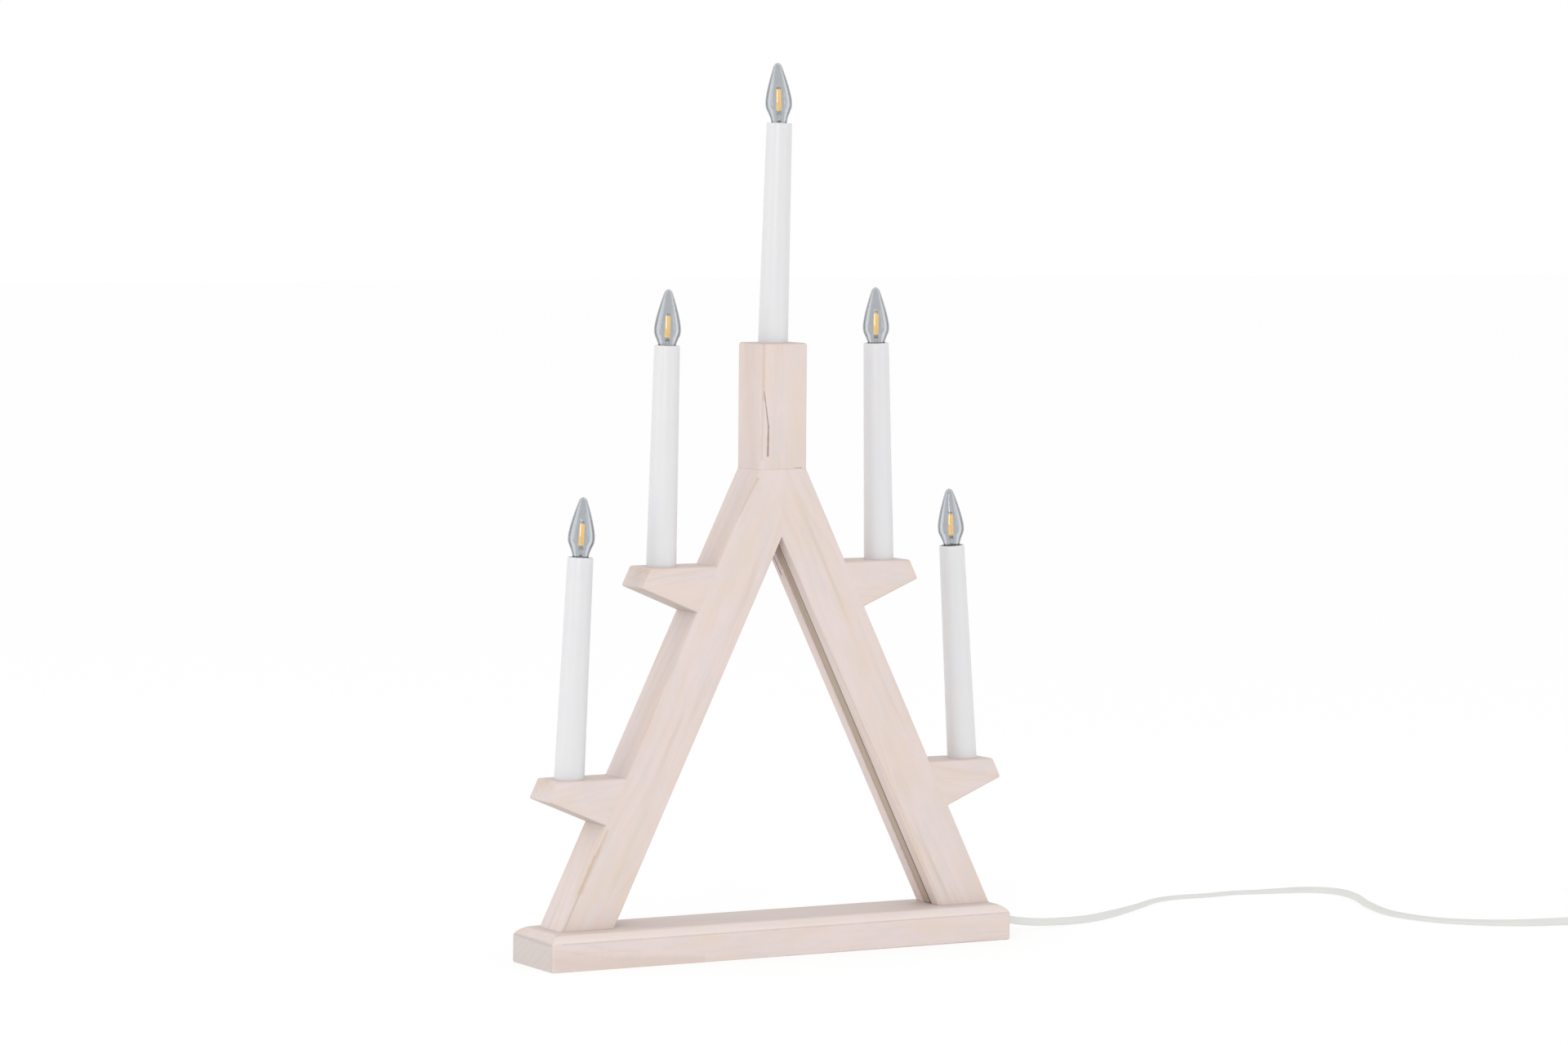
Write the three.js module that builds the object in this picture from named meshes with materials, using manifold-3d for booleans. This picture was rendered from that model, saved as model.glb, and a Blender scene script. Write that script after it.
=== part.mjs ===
// Advent candlestick: a white-washed pine frame in an inverted V on a base board, with five candle lamps
// and a flat mains lead. Millimetres; +X along the base, +Y to the back, +Z up, z = 0 where it stands.

import * as THREE from 'three';
import { mergeVertices } from 'three/addons/utils/BufferGeometryUtils.js';
import Module from 'manifold-3d';

const wasm = await Module();
wasm.setup();

// Sizes

// Gap kept between pieces that are glued, pushed or screwed together.
const clearance = 0.3;
// Length by which a cutting tool runs past the surface it breaks through.
const overcut = 1;
// Where a quarter round is halfway through its turn, as a share of its radius.
const halfRound = 1 - Math.SQRT1_2;
// The least corner radius that an outline keeps where its corners are all but sharp.
const sharpCorner = 0.1;
// Sides of a round piece: the sleeves that show, and everything smaller.
const sides = { sleeve: 20, small: 12, tiny: 8, stick: 6 };

// The base board: straight walls, then a rounded-over top edge all round.
const base = {
  length: 330,
  depth: 56,
  height: 23,
  wallHeight: 17.5,
  roundRun: 10,
  roundSteps: 4,
  footChamfer: 0.8,
  cornerRadius: 2.5,
  cornerSteps: 2,
};

// The upright frame: two slanted legs cut flat on top, and the neck post that stands on them. The feet
// stand a set distance in from the board's ends, so the frame's height follows from the board's length.
const frame = {
  shiftX: 1.9,
  thickness: 28,
  legWidth: 34,
  legAngle: THREE.MathUtils.degToRad(26),
  footInset: 10.2,
  neckWidth: 34,
  neckLength: 79,
  cornerRadius: 2,
  cornerSteps: 2,
  topEasing: 1.6,
};

// One wedge shelf. Its nose is cut parallel to the leg.
const shelf = {
  topLength: 47.2,
  noseDrop: 12.3,
  rootDrop: 28.8,
  edgeRadius: 1.2,
  cornerRadius: 1.2,
  cornerSteps: 2,
  candleFromLeg: 32.3,
  boreDrop: 13,
  upperHeight: 246,
  lowerHeight: 116,
};

// The cable groove in each leg's inner face and the thin strip that closes it.
const groove = { width: 10, depth: 9 };
const strip = { recess: 0.8, thickness: 3, footGap: 1 };

// The channel in the underside of the base and its cover strip.
const channel = { width: 9.4, height: 13, endWall: 19, slotWall: 2, coverThickness: 2, coverRecess: 0.4 };

// Countersunk wood screws, two into each foot, and dowels between the legs and the neck.
const screw = {
  shankRadius: 1.75,
  headRadius: 3.5,
  headEdge: 0.3,
  headHeight: 2.2,
  length: 44,
  tipLength: 4.4,
  recess: 0.8,
  fromFace: 4.4,
};
const dowel = { radius: 3, length: 30, offsetX: 10.5 };

// A candle: the tapered sleeve, the spigot under it and the lamp holder in its mouth.
const sleeve = { length: 137.5, footRadius: 9.45, topRadius: 8.05, wall: 1.2, rimRadius: 0.5 };
const spigot = {
  headHeight: 14,
  shoulderLift: 0.9,
  bevel: 1,
  stemRadius: 5,
  stemDepth: 9,
  boreRadius: 2.5,
};
const holder = { height: 16, contactRadius: 1.6, contactHeight: 0.3, contactGap: 0.5, edge: 0.8 };

// The lamp, measured from the mouth of its holder. The glass profile lists radius and height.
const lamp = {
  capRadius: 4.75,
  capGap: 0.7,
  capRim: 0.2,
  capDepth: 11.2,
  threadPitch: 1.81,
  threadDepth: 0.35,
  threadTurns: 3,
  threadTop: -1,
  threadRunOut: 0.4,
  tipRadius: 1.8,
  tipLength: 1,
  glassWall: 0.6,
  neckRadius: 4,
  neckDepth: 3,
  stemFoot: 2,
  stemRadius: 1,
  stickCount: 3,
  stickRadius: 0.75,
  stickSpread: 1.5,
  stickFoot: 7.5,
  stickLength: 15.5,
  stickSunk: 0.4,
  stickTwist: 0.5,
};
const glassProfile = [
  [4.85, 1.2],
  [5.6, 4.2],
  [6.8, 7.3],
  [8.1, 10.4],
  [8.4, 13.4],
  [8.15, 16.4],
  [7.1, 22],
  [5.6, 28],
  [3.8, 34],
  [2.9, 36.7],
  [1.7, 38],
  [0, 38.5],
];

// The five candles: side of the frame, shelf, lean of the sleeve, lean of the lamp in it, and how deep
// the holder sits under the rim. Leans are in degrees, positive to the right.
const candles = [
  { name: 'centre', side: 0, level: 'neck', lean: 1.4, lampLean: -3.8, holderDepth: 1 },
  { name: 'upper_left', side: -1, level: 'upper', lean: 1.3, lampLean: 0, holderDepth: 3.7 },
  { name: 'upper_right', side: 1, level: 'upper', lean: -1.4, lampLean: 0, holderDepth: 3.3 },
  { name: 'lower_left', side: -1, level: 'lower', lean: 2.9, lampLean: 0, holderDepth: 1.4 },
  { name: 'lower_right', side: 1, level: 'lower', lean: -3.9, lampLean: 0, holderDepth: 2.1 },
];

// Thin wiring: the loop through the legs, its return along the base and a riser to each holder.
const wire = {
  loopRadius: 1.4,
  riserRadius: 1.3,
  bore: 3,
  bend: 4,
  bendSteps: 4,
  sides: 8,
  channelHeight: 8,
  returnRun: 12,
  returnRise: 1.5,
};

// The flat twin lead, the moulded strain relief at the base and the plug.
const cord = { width: 5, thickness: 2.5, exitHeight: 10.3, floorGap: 0.1 };
const relief = {
  radius: 4.7,
  flangeRadius: 5.8,
  flange: 1.2,
  nose: 5,
  noseWidth: 7,
  noseHeight: 8,
  noseCorner: 2.5,
  endMargin: 1,
  endCorner: 1,
  cornerSteps: 2,
};
const plug = {
  width: 35.3,
  height: 13.7,
  length: 36,
  cornerShare: 0.4,
  cornerSteps: 3,
  lift: 0.1,
  pinRadius: 2,
  pinLength: 19,
  pinTip: 1.5,
  pinSpacing: 18.6,
  pinToeIn: THREE.MathUtils.degToRad(1.6),
};
// The plug's body from the lead's end: share of its length, of its width and of its height.
const plugProfile = [
  [0, 0.255, 0.51],
  [0.3, 0.34, 0.66],
  [0.42, 0.83, 0.93],
  [0.52, 1, 1],
  [0.97, 1, 1],
  [1, 0.957, 0.89],
];
const coil = {
  outerRadius: 34,
  pitch: 4.4,
  turns: 6.25,
  layerRise: 6,
  climbTurns: 0.5,
  centreX: 447,
  centreY: -103,
  stepsPerTurn: 24,
  tailLength: 50,
  tailTurnFrom: 0.3,
  tailTurnTo: 0.9,
};

// The lead's route from the strain relief to the coil: distance beyond the board's right end, y, height
// of the centre line, and the turn of the flat section about it in degrees (0 lies flat, 90 is on edge).
const leadRoute = [
  [17.4, 0, 8, 90],
  [35, 1.5, 5.3, 90],
  [61.5, 8.5, 3.2, 90],
  [84, 13.5, 2.7, 85],
  [112, 27.5, 2.5, 50],
  [148, 53, 1.8, 10],
  [180, 76, 1.5, 0],
  [200, 82, 1.4, 0],
  [223, 81, 1.4, 0],
  [247, 83.5, 1.4, 0],
  [264, 79.5, 1.5, 5],
  [279, 75.8, 1.8, 15],
  [293, 72, 2.1, 25],
  [302.5, 66.5, 2.2, 30],
  [309, 57.5, 2.3, 35],
  [311, 46, 2.4, 40],
  [306.5, 25, 2.5, 45],
  [291, -14, 2.4, 35],
  [283, -53, 2.1, 20],
  [295, -92, 1.9, 15],
  [326, -122, 2.4, 35],
  [372, -135.5, 2.7, 75],
  [412, -137, 2.7, 90],
];
const leadSteps = 78;

// Places worked out from the sizes

const slope = Math.tan(frame.legAngle);
const footOuterX = base.length / 2 - frame.footInset;
const jointHeight = base.height + (footOuterX - frame.neckWidth / 2) / slope;
const neckTop = jointHeight + frame.neckLength;
const legOuterX = (z) => frame.neckWidth / 2 + (jointHeight - z) * slope;
const footInnerX = footOuterX - frame.legWidth / Math.cos(frame.legAngle);
const apexHeight = base.height + footInnerX / slope;
const shelfHeight = { neck: neckTop, upper: shelf.upperHeight, lower: shelf.lowerHeight };
const wireSlotMiddle = (strip.recess + strip.thickness + groove.depth) / 2;
const wireSlotX = footInnerX + wireSlotMiddle / Math.cos(frame.legAngle);
const wireSlotWidth = (groove.depth - strip.recess - strip.thickness) / Math.cos(frame.legAngle);
const channelRight = base.length / 2 - channel.endWall;
const channelLeft = frame.shiftX - wireSlotX - wireSlotWidth / 2 - channel.slotWall;
const reliefOut = base.length / 2 + clearance + relief.flange + relief.nose;
const socketRadius = lamp.capRadius + lamp.capGap;
const socketDepth = lamp.capDepth + holder.contactGap + holder.contactHeight;
const holderRadius = sleeve.topRadius - sleeve.wall - clearance;
const sleeveRadius = (h) => THREE.MathUtils.lerp(sleeve.footRadius, sleeve.topRadius, h / sleeve.length);

for (const candle of candles) {
  candle.z = shelfHeight[candle.level];
  candle.x = candle.side === 0 ? 0 : candle.side * (legOuterX(candle.z) + shelf.candleFromLeg);
  candle.angle = THREE.MathUtils.degToRad(candle.lean);
  candle.lampAngle = THREE.MathUtils.degToRad(candle.lampLean);
  candle.mouth = sleeve.length - candle.holderDepth;
}

// Materials

function material(color, roughness, metalness = 0) {
  return new THREE.MeshStandardMaterial({ color, roughness, metalness });
}

const pine = material(0xe3d5cb, 0.7);
const rawStrip = material(0xb0a091, 0.8);
const plastic = material(0xe8e8ea, 0.4);
const beech = material(0xd8bd96, 0.7);
const steel = material(0xa8a9ad, 0.35, 1);
const nickel = material(0xc4c2bd, 0.3, 1);
const clearGlass = material(0xf2f6f7, 0.05);
clearGlass.transparent = true;
clearGlass.opacity = 0.35;
const amber = material(0xf0be5a, 0.5);
const cordPlastic = material(0xdedcdd, 0.45);
const pinBrass = material(0xc9c4b8, 0.3, 1);

// Solids

function toSolid(geometry) {
  const bare = geometry.index ? geometry.toNonIndexed() : geometry.clone();
  bare.deleteAttribute('normal');
  bare.deleteAttribute('uv');
  const merged = mergeVertices(bare, 1e-4);
  const corners = merged.index.array;
  const whole = [];
  for (let i = 0; i < corners.length; i += 3) {
    const [a, b, c] = [corners[i], corners[i + 1], corners[i + 2]];
    if (a !== b && b !== c && c !== a) {
      whole.push(a, b, c);
    }
  }
  return new wasm.Manifold(new wasm.Mesh({
    numProp: 3,
    vertProperties: merged.attributes.position.array,
    triVerts: new Uint32Array(whole),
  }));
}

function toGeometry(solid) {
  const mesh = solid.getMesh();
  const geometry = new THREE.BufferGeometry();
  geometry.setAttribute('position', new THREE.BufferAttribute(new Float32Array(mesh.vertProperties), 3));
  geometry.setIndex(new THREE.BufferAttribute(new Uint32Array(mesh.triVerts), 1));
  const faceted = geometry.toNonIndexed();
  faceted.computeVertexNormals();
  return faceted;
}

function cut(body, ...tools) {
  return tools.reduce((left, tool) => left.subtract(toSolid(tool)), body);
}

function node(name, shape, look) {
  const mesh = new THREE.Mesh(shape.isBufferGeometry ? shape : toGeometry(shape), look);
  mesh.name = name;
  return mesh;
}

// A box from its lowest corner to its highest.
function boxBetween([x0, y0, z0], [x1, y1, z1]) {
  const box = new THREE.BoxGeometry(x1 - x0, y1 - y0, z1 - z0);
  return box.translate((x0 + x1) / 2, (y0 + y1) / 2, (z0 + z1) / 2);
}

// A round bar between two points.
function barBetween(from, to, radius, sideCount = sides.small) {
  const start = new THREE.Vector3(...from);
  const along = new THREE.Vector3(...to).sub(start);
  const bar = new THREE.CylinderGeometry(radius, radius, along.length(), sideCount);
  const upward = new THREE.Vector3(0, 1, 0);
  bar.applyQuaternion(new THREE.Quaternion().setFromUnitVectors(upward, along.clone().normalize()));
  return bar.translate(...start.addScaledVector(along, 0.5).toArray());
}

// A turned solid about +Z. The profile lists [radius, height] from the lower end to the upper.
function turned(profile, sideCount = sides.small) {
  const points = profile.map(([radius, height]) => new THREE.Vector2(radius, height));
  return new THREE.LatheGeometry(points, sideCount).rotateX(Math.PI / 2);
}

// Points of a rectangle with rounded corners, counter-clockwise seen from +Z.
function roundedRectangle(width, depth, radius, steps) {
  const points = [];
  const corners = [[1, 1, 0], [-1, 1, 90], [-1, -1, 180], [1, -1, 270]];
  for (const [signX, signY, startDegrees] of corners) {
    for (let step = 0; step <= steps; step++) {
      const angle = THREE.MathUtils.degToRad(startDegrees + (90 * step) / steps);
      points.push([
        signX * (width / 2 - radius) + radius * Math.cos(angle),
        signY * (depth / 2 - radius) + radius * Math.sin(angle),
      ]);
    }
  }
  return points;
}

// A closed solid from rings of equally many points, first ring to last, both ends capped.
function ringStack(rings) {
  const count = rings[0].length;
  const positions = rings.flat(2);
  const index = [];
  for (let ring = 0; ring + 1 < rings.length; ring++) {
    for (let i = 0; i < count; i++) {
      const a = ring * count + i;
      const b = ring * count + ((i + 1) % count);
      index.push(a, b, b + count, a, b + count, a + count);
    }
  }
  const last = (rings.length - 1) * count;
  for (let i = 1; i + 1 < count; i++) {
    index.push(0, i + 1, i, last, last + i, last + i + 1);
  }
  const geometry = new THREE.BufferGeometry();
  geometry.setAttribute('position', new THREE.BufferAttribute(new Float32Array(positions), 3));
  geometry.setIndex(index);
  return geometry;
}

const ringAt = (points, height) => points.map(([x, y]) => [x, y, height]);

// A post of rounded section whose upper edge is eased by a small quarter round.
function post(width, depth, bottom, top, easing) {
  const halfway = easing * halfRound;
  const ring = (inset, z) => ringAt(roundedRectangle(
    width - 2 * inset, depth - 2 * inset, frame.cornerRadius, frame.cornerSteps), z);
  return ringStack([
    ring(0, bottom),
    ring(0, top - easing),
    ring(halfway, top - halfway),
    ring(easing, top),
  ]);
}

// A closed solid with a section at each point of a line. wideAt gives the direction of the section's x.
function sweep(points, section, wideAt) {
  return ringStack(points.map((point, i) => {
    const before = points[Math.max(i - 1, 0)];
    const after = points[Math.min(i + 1, points.length - 1)];
    const tangent = after.clone().sub(before).normalize();
    const wide = wideAt(tangent, i);
    const thin = tangent.clone().cross(wide);
    return section.map(([x, y]) => (
      point.clone().addScaledVector(wide, x).addScaledVector(thin, y).toArray()
    ));
  }));
}

// Thin round wiring with straight runs and rounded corners. No run of it points along y.
function wireTube(corners, radius, bend) {
  const at = corners.map((corner) => new THREE.Vector3(...corner));
  const line = [at[0]];
  for (let i = 1; i + 1 < at.length; i++) {
    const start = at[i - 1].clone().sub(at[i]).setLength(bend).add(at[i]);
    const end = at[i + 1].clone().sub(at[i]).setLength(bend).add(at[i]);
    line.push(...new THREE.QuadraticBezierCurve3(start, at[i], end).getPoints(wire.bendSteps));
  }
  line.push(at[at.length - 1]);
  const section = [];
  for (let i = 0; i < wire.sides; i++) {
    const angle = (i * 2 * Math.PI) / wire.sides;
    section.push([radius * Math.cos(angle), radius * Math.sin(angle)]);
  }
  return sweep(line, section, (tangent) => new THREE.Vector3(0, 1, 0).projectOnPlane(tangent).normalize());
}

// Base board

function baseBoard() {
  const outline = (inset) => roundedRectangle(
    base.length - 2 * inset, base.depth - 2 * inset, base.cornerRadius, base.cornerSteps);
  const drop = base.height - base.wallHeight;
  const arcRadius = (base.roundRun ** 2 + drop ** 2) / (2 * drop);
  const rings = [
    ringAt(outline(base.footChamfer), 0),
    ringAt(outline(0), base.footChamfer),
    ringAt(outline(0), base.wallHeight),
  ];
  const startAngle = Math.asin(base.roundRun / arcRadius);
  for (let step = 1; step <= base.roundSteps; step++) {
    const angle = startAngle * (1 - step / base.roundSteps);
    const inset = base.roundRun - arcRadius * Math.sin(angle);
    rings.push(ringAt(outline(inset), base.height - arcRadius * (1 - Math.cos(angle))));
  }
  const half = channel.width / 2;
  let board = cut(
    toSolid(ringStack(rings)),
    boxBetween([channelLeft, -half, -overcut], [channelRight, half, channel.height]),
    barBetween(
      [channelRight - overcut, 0, cord.exitHeight],
      [base.length / 2 + overcut, 0, cord.exitHeight],
      relief.radius + clearance),
  );
  for (const side of [-1, 1]) {
    const x = frame.shiftX + side * wireSlotX;
    board = cut(board, boxBetween(
      [x - wireSlotWidth / 2, -half, channel.height - overcut],
      [x + wireSlotWidth / 2, half, base.height + overcut]));
  }
  for (const place of screwPlaces()) {
    const [x, y] = [place.x + frame.shiftX, place.y];
    board = cut(
      board,
      barBetween([x, y, -overcut], [x, y, base.height + overcut], screw.shankRadius + clearance),
      barBetween([x, y, -overcut], [x, y, screw.recess + screw.headHeight + clearance],
        screw.headRadius + clearance));
  }
  return board;
}

function channelCover() {
  const half = channel.width / 2 - clearance;
  return boxBetween(
    [channelLeft + clearance, -half, channel.coverRecess],
    [channelRight - clearance, half, channel.coverRecess + channel.coverThickness]);
}

// Screws

function screwPlaces() {
  const x = (footOuterX + footInnerX) / 2;
  const y = frame.thickness / 2 - screw.fromFace;
  return [
    { name: 'left_front', x: -x, y: -y },
    { name: 'left_back', x: -x, y },
    { name: 'right_front', x, y: -y },
    { name: 'right_back', x, y },
  ];
}

function woodScrew() {
  const { headRadius, headEdge, headHeight, shankRadius, length, tipLength } = screw;
  return turned([
    [0, 0],
    [headRadius, 0],
    [headRadius, headEdge],
    [shankRadius, headHeight],
    [shankRadius, length - tipLength],
    [0, length],
  ], sides.tiny);
}

// Legs

// The leg's own frame: x across it with 0 at the outer face, z along it, at the flat joint's outer edge.
function legMatrix(side) {
  return new THREE.Matrix4()
    .makeTranslation(side * frame.neckWidth / 2, 0, jointHeight)
    .multiply(new THREE.Matrix4().makeRotationY(-side * frame.legAngle));
}

// A point in a leg: depth from its outer face, y, and height above the standing surface.
function inLeg(side, fromOuter, y, z) {
  return [side * (legOuterX(z) - fromOuter / Math.cos(frame.legAngle)), y, z];
}

function legBar(side, depthFrom, depthTo, width) {
  const long = 2 * jointHeight;
  const [near, far] = [-side * depthFrom, -side * depthTo];
  const lowest = [Math.min(near, far), -width / 2, -long];
  const highest = [Math.max(near, far), width / 2, long];
  return boxBetween(lowest, highest).applyMatrix4(legMatrix(side));
}

function halfSpace(side, gap, bottom, top) {
  const reach = base.length;
  const xs = side > 0 ? [gap, reach] : [-reach, -gap];
  return boxBetween([xs[0], -reach, bottom], [xs[1], reach, top]);
}

function leg(side) {
  const section = roundedRectangle(frame.legWidth, frame.thickness, frame.cornerRadius, frame.cornerSteps);
  const bar = ringStack([ringAt(section, -2 * jointHeight), ringAt(section, jointHeight)]);
  bar.translate(-side * frame.legWidth / 2, 0, 0).applyMatrix4(legMatrix(side));
  let body = toSolid(bar).intersect(toSolid(halfSpace(side, 0, base.height, jointHeight)));
  body = cut(
    body,
    legBar(side, frame.legWidth - groove.depth, frame.legWidth + overcut, groove.width),
    barBetween([0, 0, apexHeight], [0, 0, jointHeight + overcut], wire.bore),
    barBetween(
      [side * dowel.offsetX, 0, jointHeight - dowel.length / 2 - clearance],
      [side * dowel.offsetX, 0, jointHeight + overcut],
      dowel.radius + clearance),
  );
  for (const candle of candles.filter((one) => one.side === side)) {
    const cross = crossBore(candle);
    body = cut(body, barBetween(cross.inner, cross.outer, wire.bore));
  }
  for (const place of screwPlaces().filter((one) => Math.sign(one.x) === side)) {
    body = cut(body, barBetween(
      [place.x, place.y, 0], [place.x, place.y, screw.recess + screw.length + clearance],
      screw.shankRadius + clearance));
  }
  return body;
}

function grooveStrip(side) {
  const { recess, thickness, footGap } = strip;
  const nearInner = frame.legWidth - recess;
  const bar = legBar(side, nearInner - thickness, nearInner, groove.width - 2 * clearance);
  const inside = halfSpace(side, clearance / 2, base.height + footGap, jointHeight);
  return toSolid(bar).intersect(toSolid(inside));
}

// Bore from the leg's groove, square to the leg, to the candle's own axis inside the shelf.
function crossBore(candle) {
  const axis = candleAxis(candle);
  const meet = [candle.x - axis[0] * shelf.boreDrop, 0, candle.z - axis[2] * shelf.boreDrop];
  const out = [candle.side * Math.cos(frame.legAngle), 0, Math.sin(frame.legAngle)];
  const legSide = legOuterX(meet[2]) * candle.side;
  const across = Math.abs(meet[0] - legSide) * Math.cos(frame.legAngle);
  const from = across + frame.legWidth - (groove.depth + strip.thickness + strip.recess) / 2;
  return {
    meet,
    outer: [meet[0] + out[0] * wire.bore, 0, meet[2] + out[2] * wire.bore],
    inner: [meet[0] - out[0] * from, 0, meet[2] - out[2] * from],
  };
}

const candleAxis = (candle) => [Math.sin(candle.angle), 0, Math.cos(candle.angle)];

// Neck

function neck() {
  const body = toSolid(post(frame.neckWidth, frame.thickness, jointHeight, neckTop, frame.topEasing));
  const tools = [barBetween([0, 0, jointHeight - overcut], [0, 0, neckTop - spigot.stemDepth], wire.bore)];
  for (const side of [-1, 1]) {
    tools.push(barBetween(
      [side * dowel.offsetX, 0, jointHeight - overcut],
      [side * dowel.offsetX, 0, jointHeight + dowel.length / 2 + clearance],
      dowel.radius + clearance));
  }
  return cut(body, ...tools, spigotBore(candles[0]));
}

function spigotBore(candle) {
  const axis = candleAxis(candle);
  const along = (h) => [candle.x + axis[0] * h, 0, candle.z + axis[2] * h];
  return barBetween(along(-spigot.stemDepth - clearance), along(2 * overcut), spigot.stemRadius + clearance);
}

// Shelves

// A convex outline with every edge moved in by an inset and every corner rounded.
function roundedPolygon(corners, inset, radius, steps) {
  const count = corners.length;
  const at = (i) => new THREE.Vector2(...corners[(i + count) % count]);
  const points = [];
  for (let i = 0; i < count; i++) {
    const into = at(i).sub(at(i - 1)).normalize();
    const out = at(i + 1).sub(at(i)).normalize();
    const half = into.angleTo(out) / 2;
    const inward = new THREE.Vector2(-into.y - out.y, into.x + out.x).normalize();
    const centre = at(i).addScaledVector(inward, (inset + radius) / Math.cos(half));
    const startAngle = Math.atan2(-into.x, into.y);
    for (let step = 0; step <= steps; step++) {
      const angle = startAngle + (2 * half * step) / steps;
      points.push([centre.x + radius * Math.cos(angle), centre.y + radius * Math.sin(angle)]);
    }
  }
  return points;
}

function wedgeShelf(candle) {
  const { side, z: top } = candle;
  const nose = [legOuterX(top) + shelf.topLength + shelf.noseDrop * slope, top - shelf.noseDrop];
  const root = [legOuterX(top - shelf.rootDrop), top - shelf.rootDrop];
  const into = new THREE.Vector2(root[0] - nose[0], root[1] - nose[1]).setLength(frame.legWidth / 2);
  const corners = [
    [legOuterX(top) - frame.legWidth / 2, top],
    [root[0] + into.x, root[1] + into.y],
    nose,
    [legOuterX(top) + shelf.topLength, top],
  ];
  const edge = shelf.edgeRadius;
  const rings = [];
  for (const [inset, y] of [[edge, 0], [edge * halfRound, edge * halfRound], [0, edge]]) {
    const radius = Math.max(shelf.cornerRadius - inset, sharpCorner);
    const outline = roundedPolygon(corners, inset, radius, shelf.cornerSteps);
    rings.push(outline.map(([x, z]) => [x, frame.thickness / 2 - y, z]));
    rings.unshift(outline.map(([x, z]) => [x, y - frame.thickness / 2, z]));
  }
  const wedge = ringStack(rings.reverse());
  if (side < 0) {
    wedge.rotateZ(Math.PI);
  }
  const axis = candleAxis(candle);
  const cross = crossBore(candle);
  const above = [candle.x + axis[0], 0, candle.z + axis[2]];
  return cut(
    toSolid(wedge),
    legBar(side, -clearance, frame.legWidth, 2 * frame.thickness),
    spigotBore(candle),
    barBetween(cross.meet, above, wire.bore),
    barBetween(cross.inner, cross.outer, wire.bore),
  );
}

// Candle

// A horizontal slab under the shelf's top plus the clearance, seen from the leaning candle's frame.
function shelfSlab(candle) {
  const reach = 4 * sleeve.footRadius;
  const slab = boxBetween([-reach, -reach, -reach], [reach, reach, clearance]);
  return slab.rotateY(-candle.angle);
}

function candleSleeve(candle) {
  const { length, footRadius, topRadius, wall, rimRadius } = sleeve;
  const foot = -footRadius * Math.abs(Math.sin(candle.angle)) - overcut;
  const tube = turned([
    [footRadius - wall, foot],
    [footRadius, foot],
    [footRadius, 0],
    [topRadius, length - rimRadius],
    [topRadius - rimRadius * halfRound, length - rimRadius * halfRound],
    [topRadius - rimRadius, length],
    [topRadius - wall, length],
    [footRadius - wall, 0],
    [footRadius - wall, foot],
  ], sides.sleeve);
  return cut(toSolid(tube), shelfSlab(candle));
}

function sleeveSpigot() {
  const { headHeight, shoulderLift, bevel, stemRadius, stemDepth, boreRadius } = spigot;
  const fit = (h) => sleeveRadius(h) - sleeve.wall - clearance;
  return turned([
    [boreRadius, -stemDepth],
    [stemRadius, -stemDepth],
    [stemRadius, shoulderLift],
    [fit(shoulderLift), shoulderLift],
    [fit(headHeight), headHeight - bevel],
    [fit(headHeight) - bevel, headHeight],
    [boreRadius, headHeight],
    [boreRadius, -stemDepth],
  ]);
}

// The holder, with its mouth at z = 0 in the candle's frame and its contact at the bottom of the socket.
function lampHolder() {
  const { height, contactRadius, contactHeight, edge } = holder;
  return turned([
    [0, -height],
    [holderRadius - edge, -height],
    [holderRadius, edge - height],
    [holderRadius, 0],
    [socketRadius, 0],
    [socketRadius, -socketDepth],
    [contactRadius, -socketDepth],
    [contactRadius, contactHeight - socketDepth],
    [0, contactHeight - socketDepth],
  ]);
}

// Lamp

function lampGlass() {
  const { neckRadius, neckDepth, glassWall, capRim } = lamp;
  const last = glassProfile.length - 1;
  const outer = [[0, -neckDepth], [neckRadius, -neckDepth], [neckRadius, capRim], ...glassProfile];
  const inner = glassProfile.map(([radius, height], i) => [
    Math.max(radius - glassWall, 0),
    height - (i > last / 2 ? (glassWall * i) / last : 0),
  ]);
  const bore = [
    [0, -neckDepth - overcut],
    [neckRadius - glassWall, -neckDepth - overcut],
    [neckRadius - glassWall, capRim],
    ...inner,
  ];
  return cut(toSolid(turned(outer)), turned(bore));
}

function lampCap() {
  const { capRadius, capRim, capDepth, threadPitch, threadDepth, threadTurns, threadTop } = lamp;
  const { threadRunOut, tipRadius, tipLength, neckRadius } = lamp;
  const root = capRadius - threadDepth;
  const profile = [];
  for (let turn = threadTurns; turn > 0; turn--) {
    const low = threadTop - turn * threadPitch;
    profile.push([root, low], [capRadius, low + threadPitch / 2]);
  }
  const threadFoot = threadTop - threadTurns * threadPitch;
  const bore = neckRadius + clearance;
  return turned([
    [0, -capDepth],
    [tipRadius, -capDepth],
    [tipRadius, tipLength - capDepth],
    [root - tipLength, threadFoot - tipLength],
    ...profile,
    [root, threadTop],
    [capRadius, threadTop + threadRunOut],
    [capRadius, capRim],
    [bore, capRim],
    [bore, threadFoot + tipLength],
    [0, threadFoot + tipLength],
  ]);
}

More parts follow.
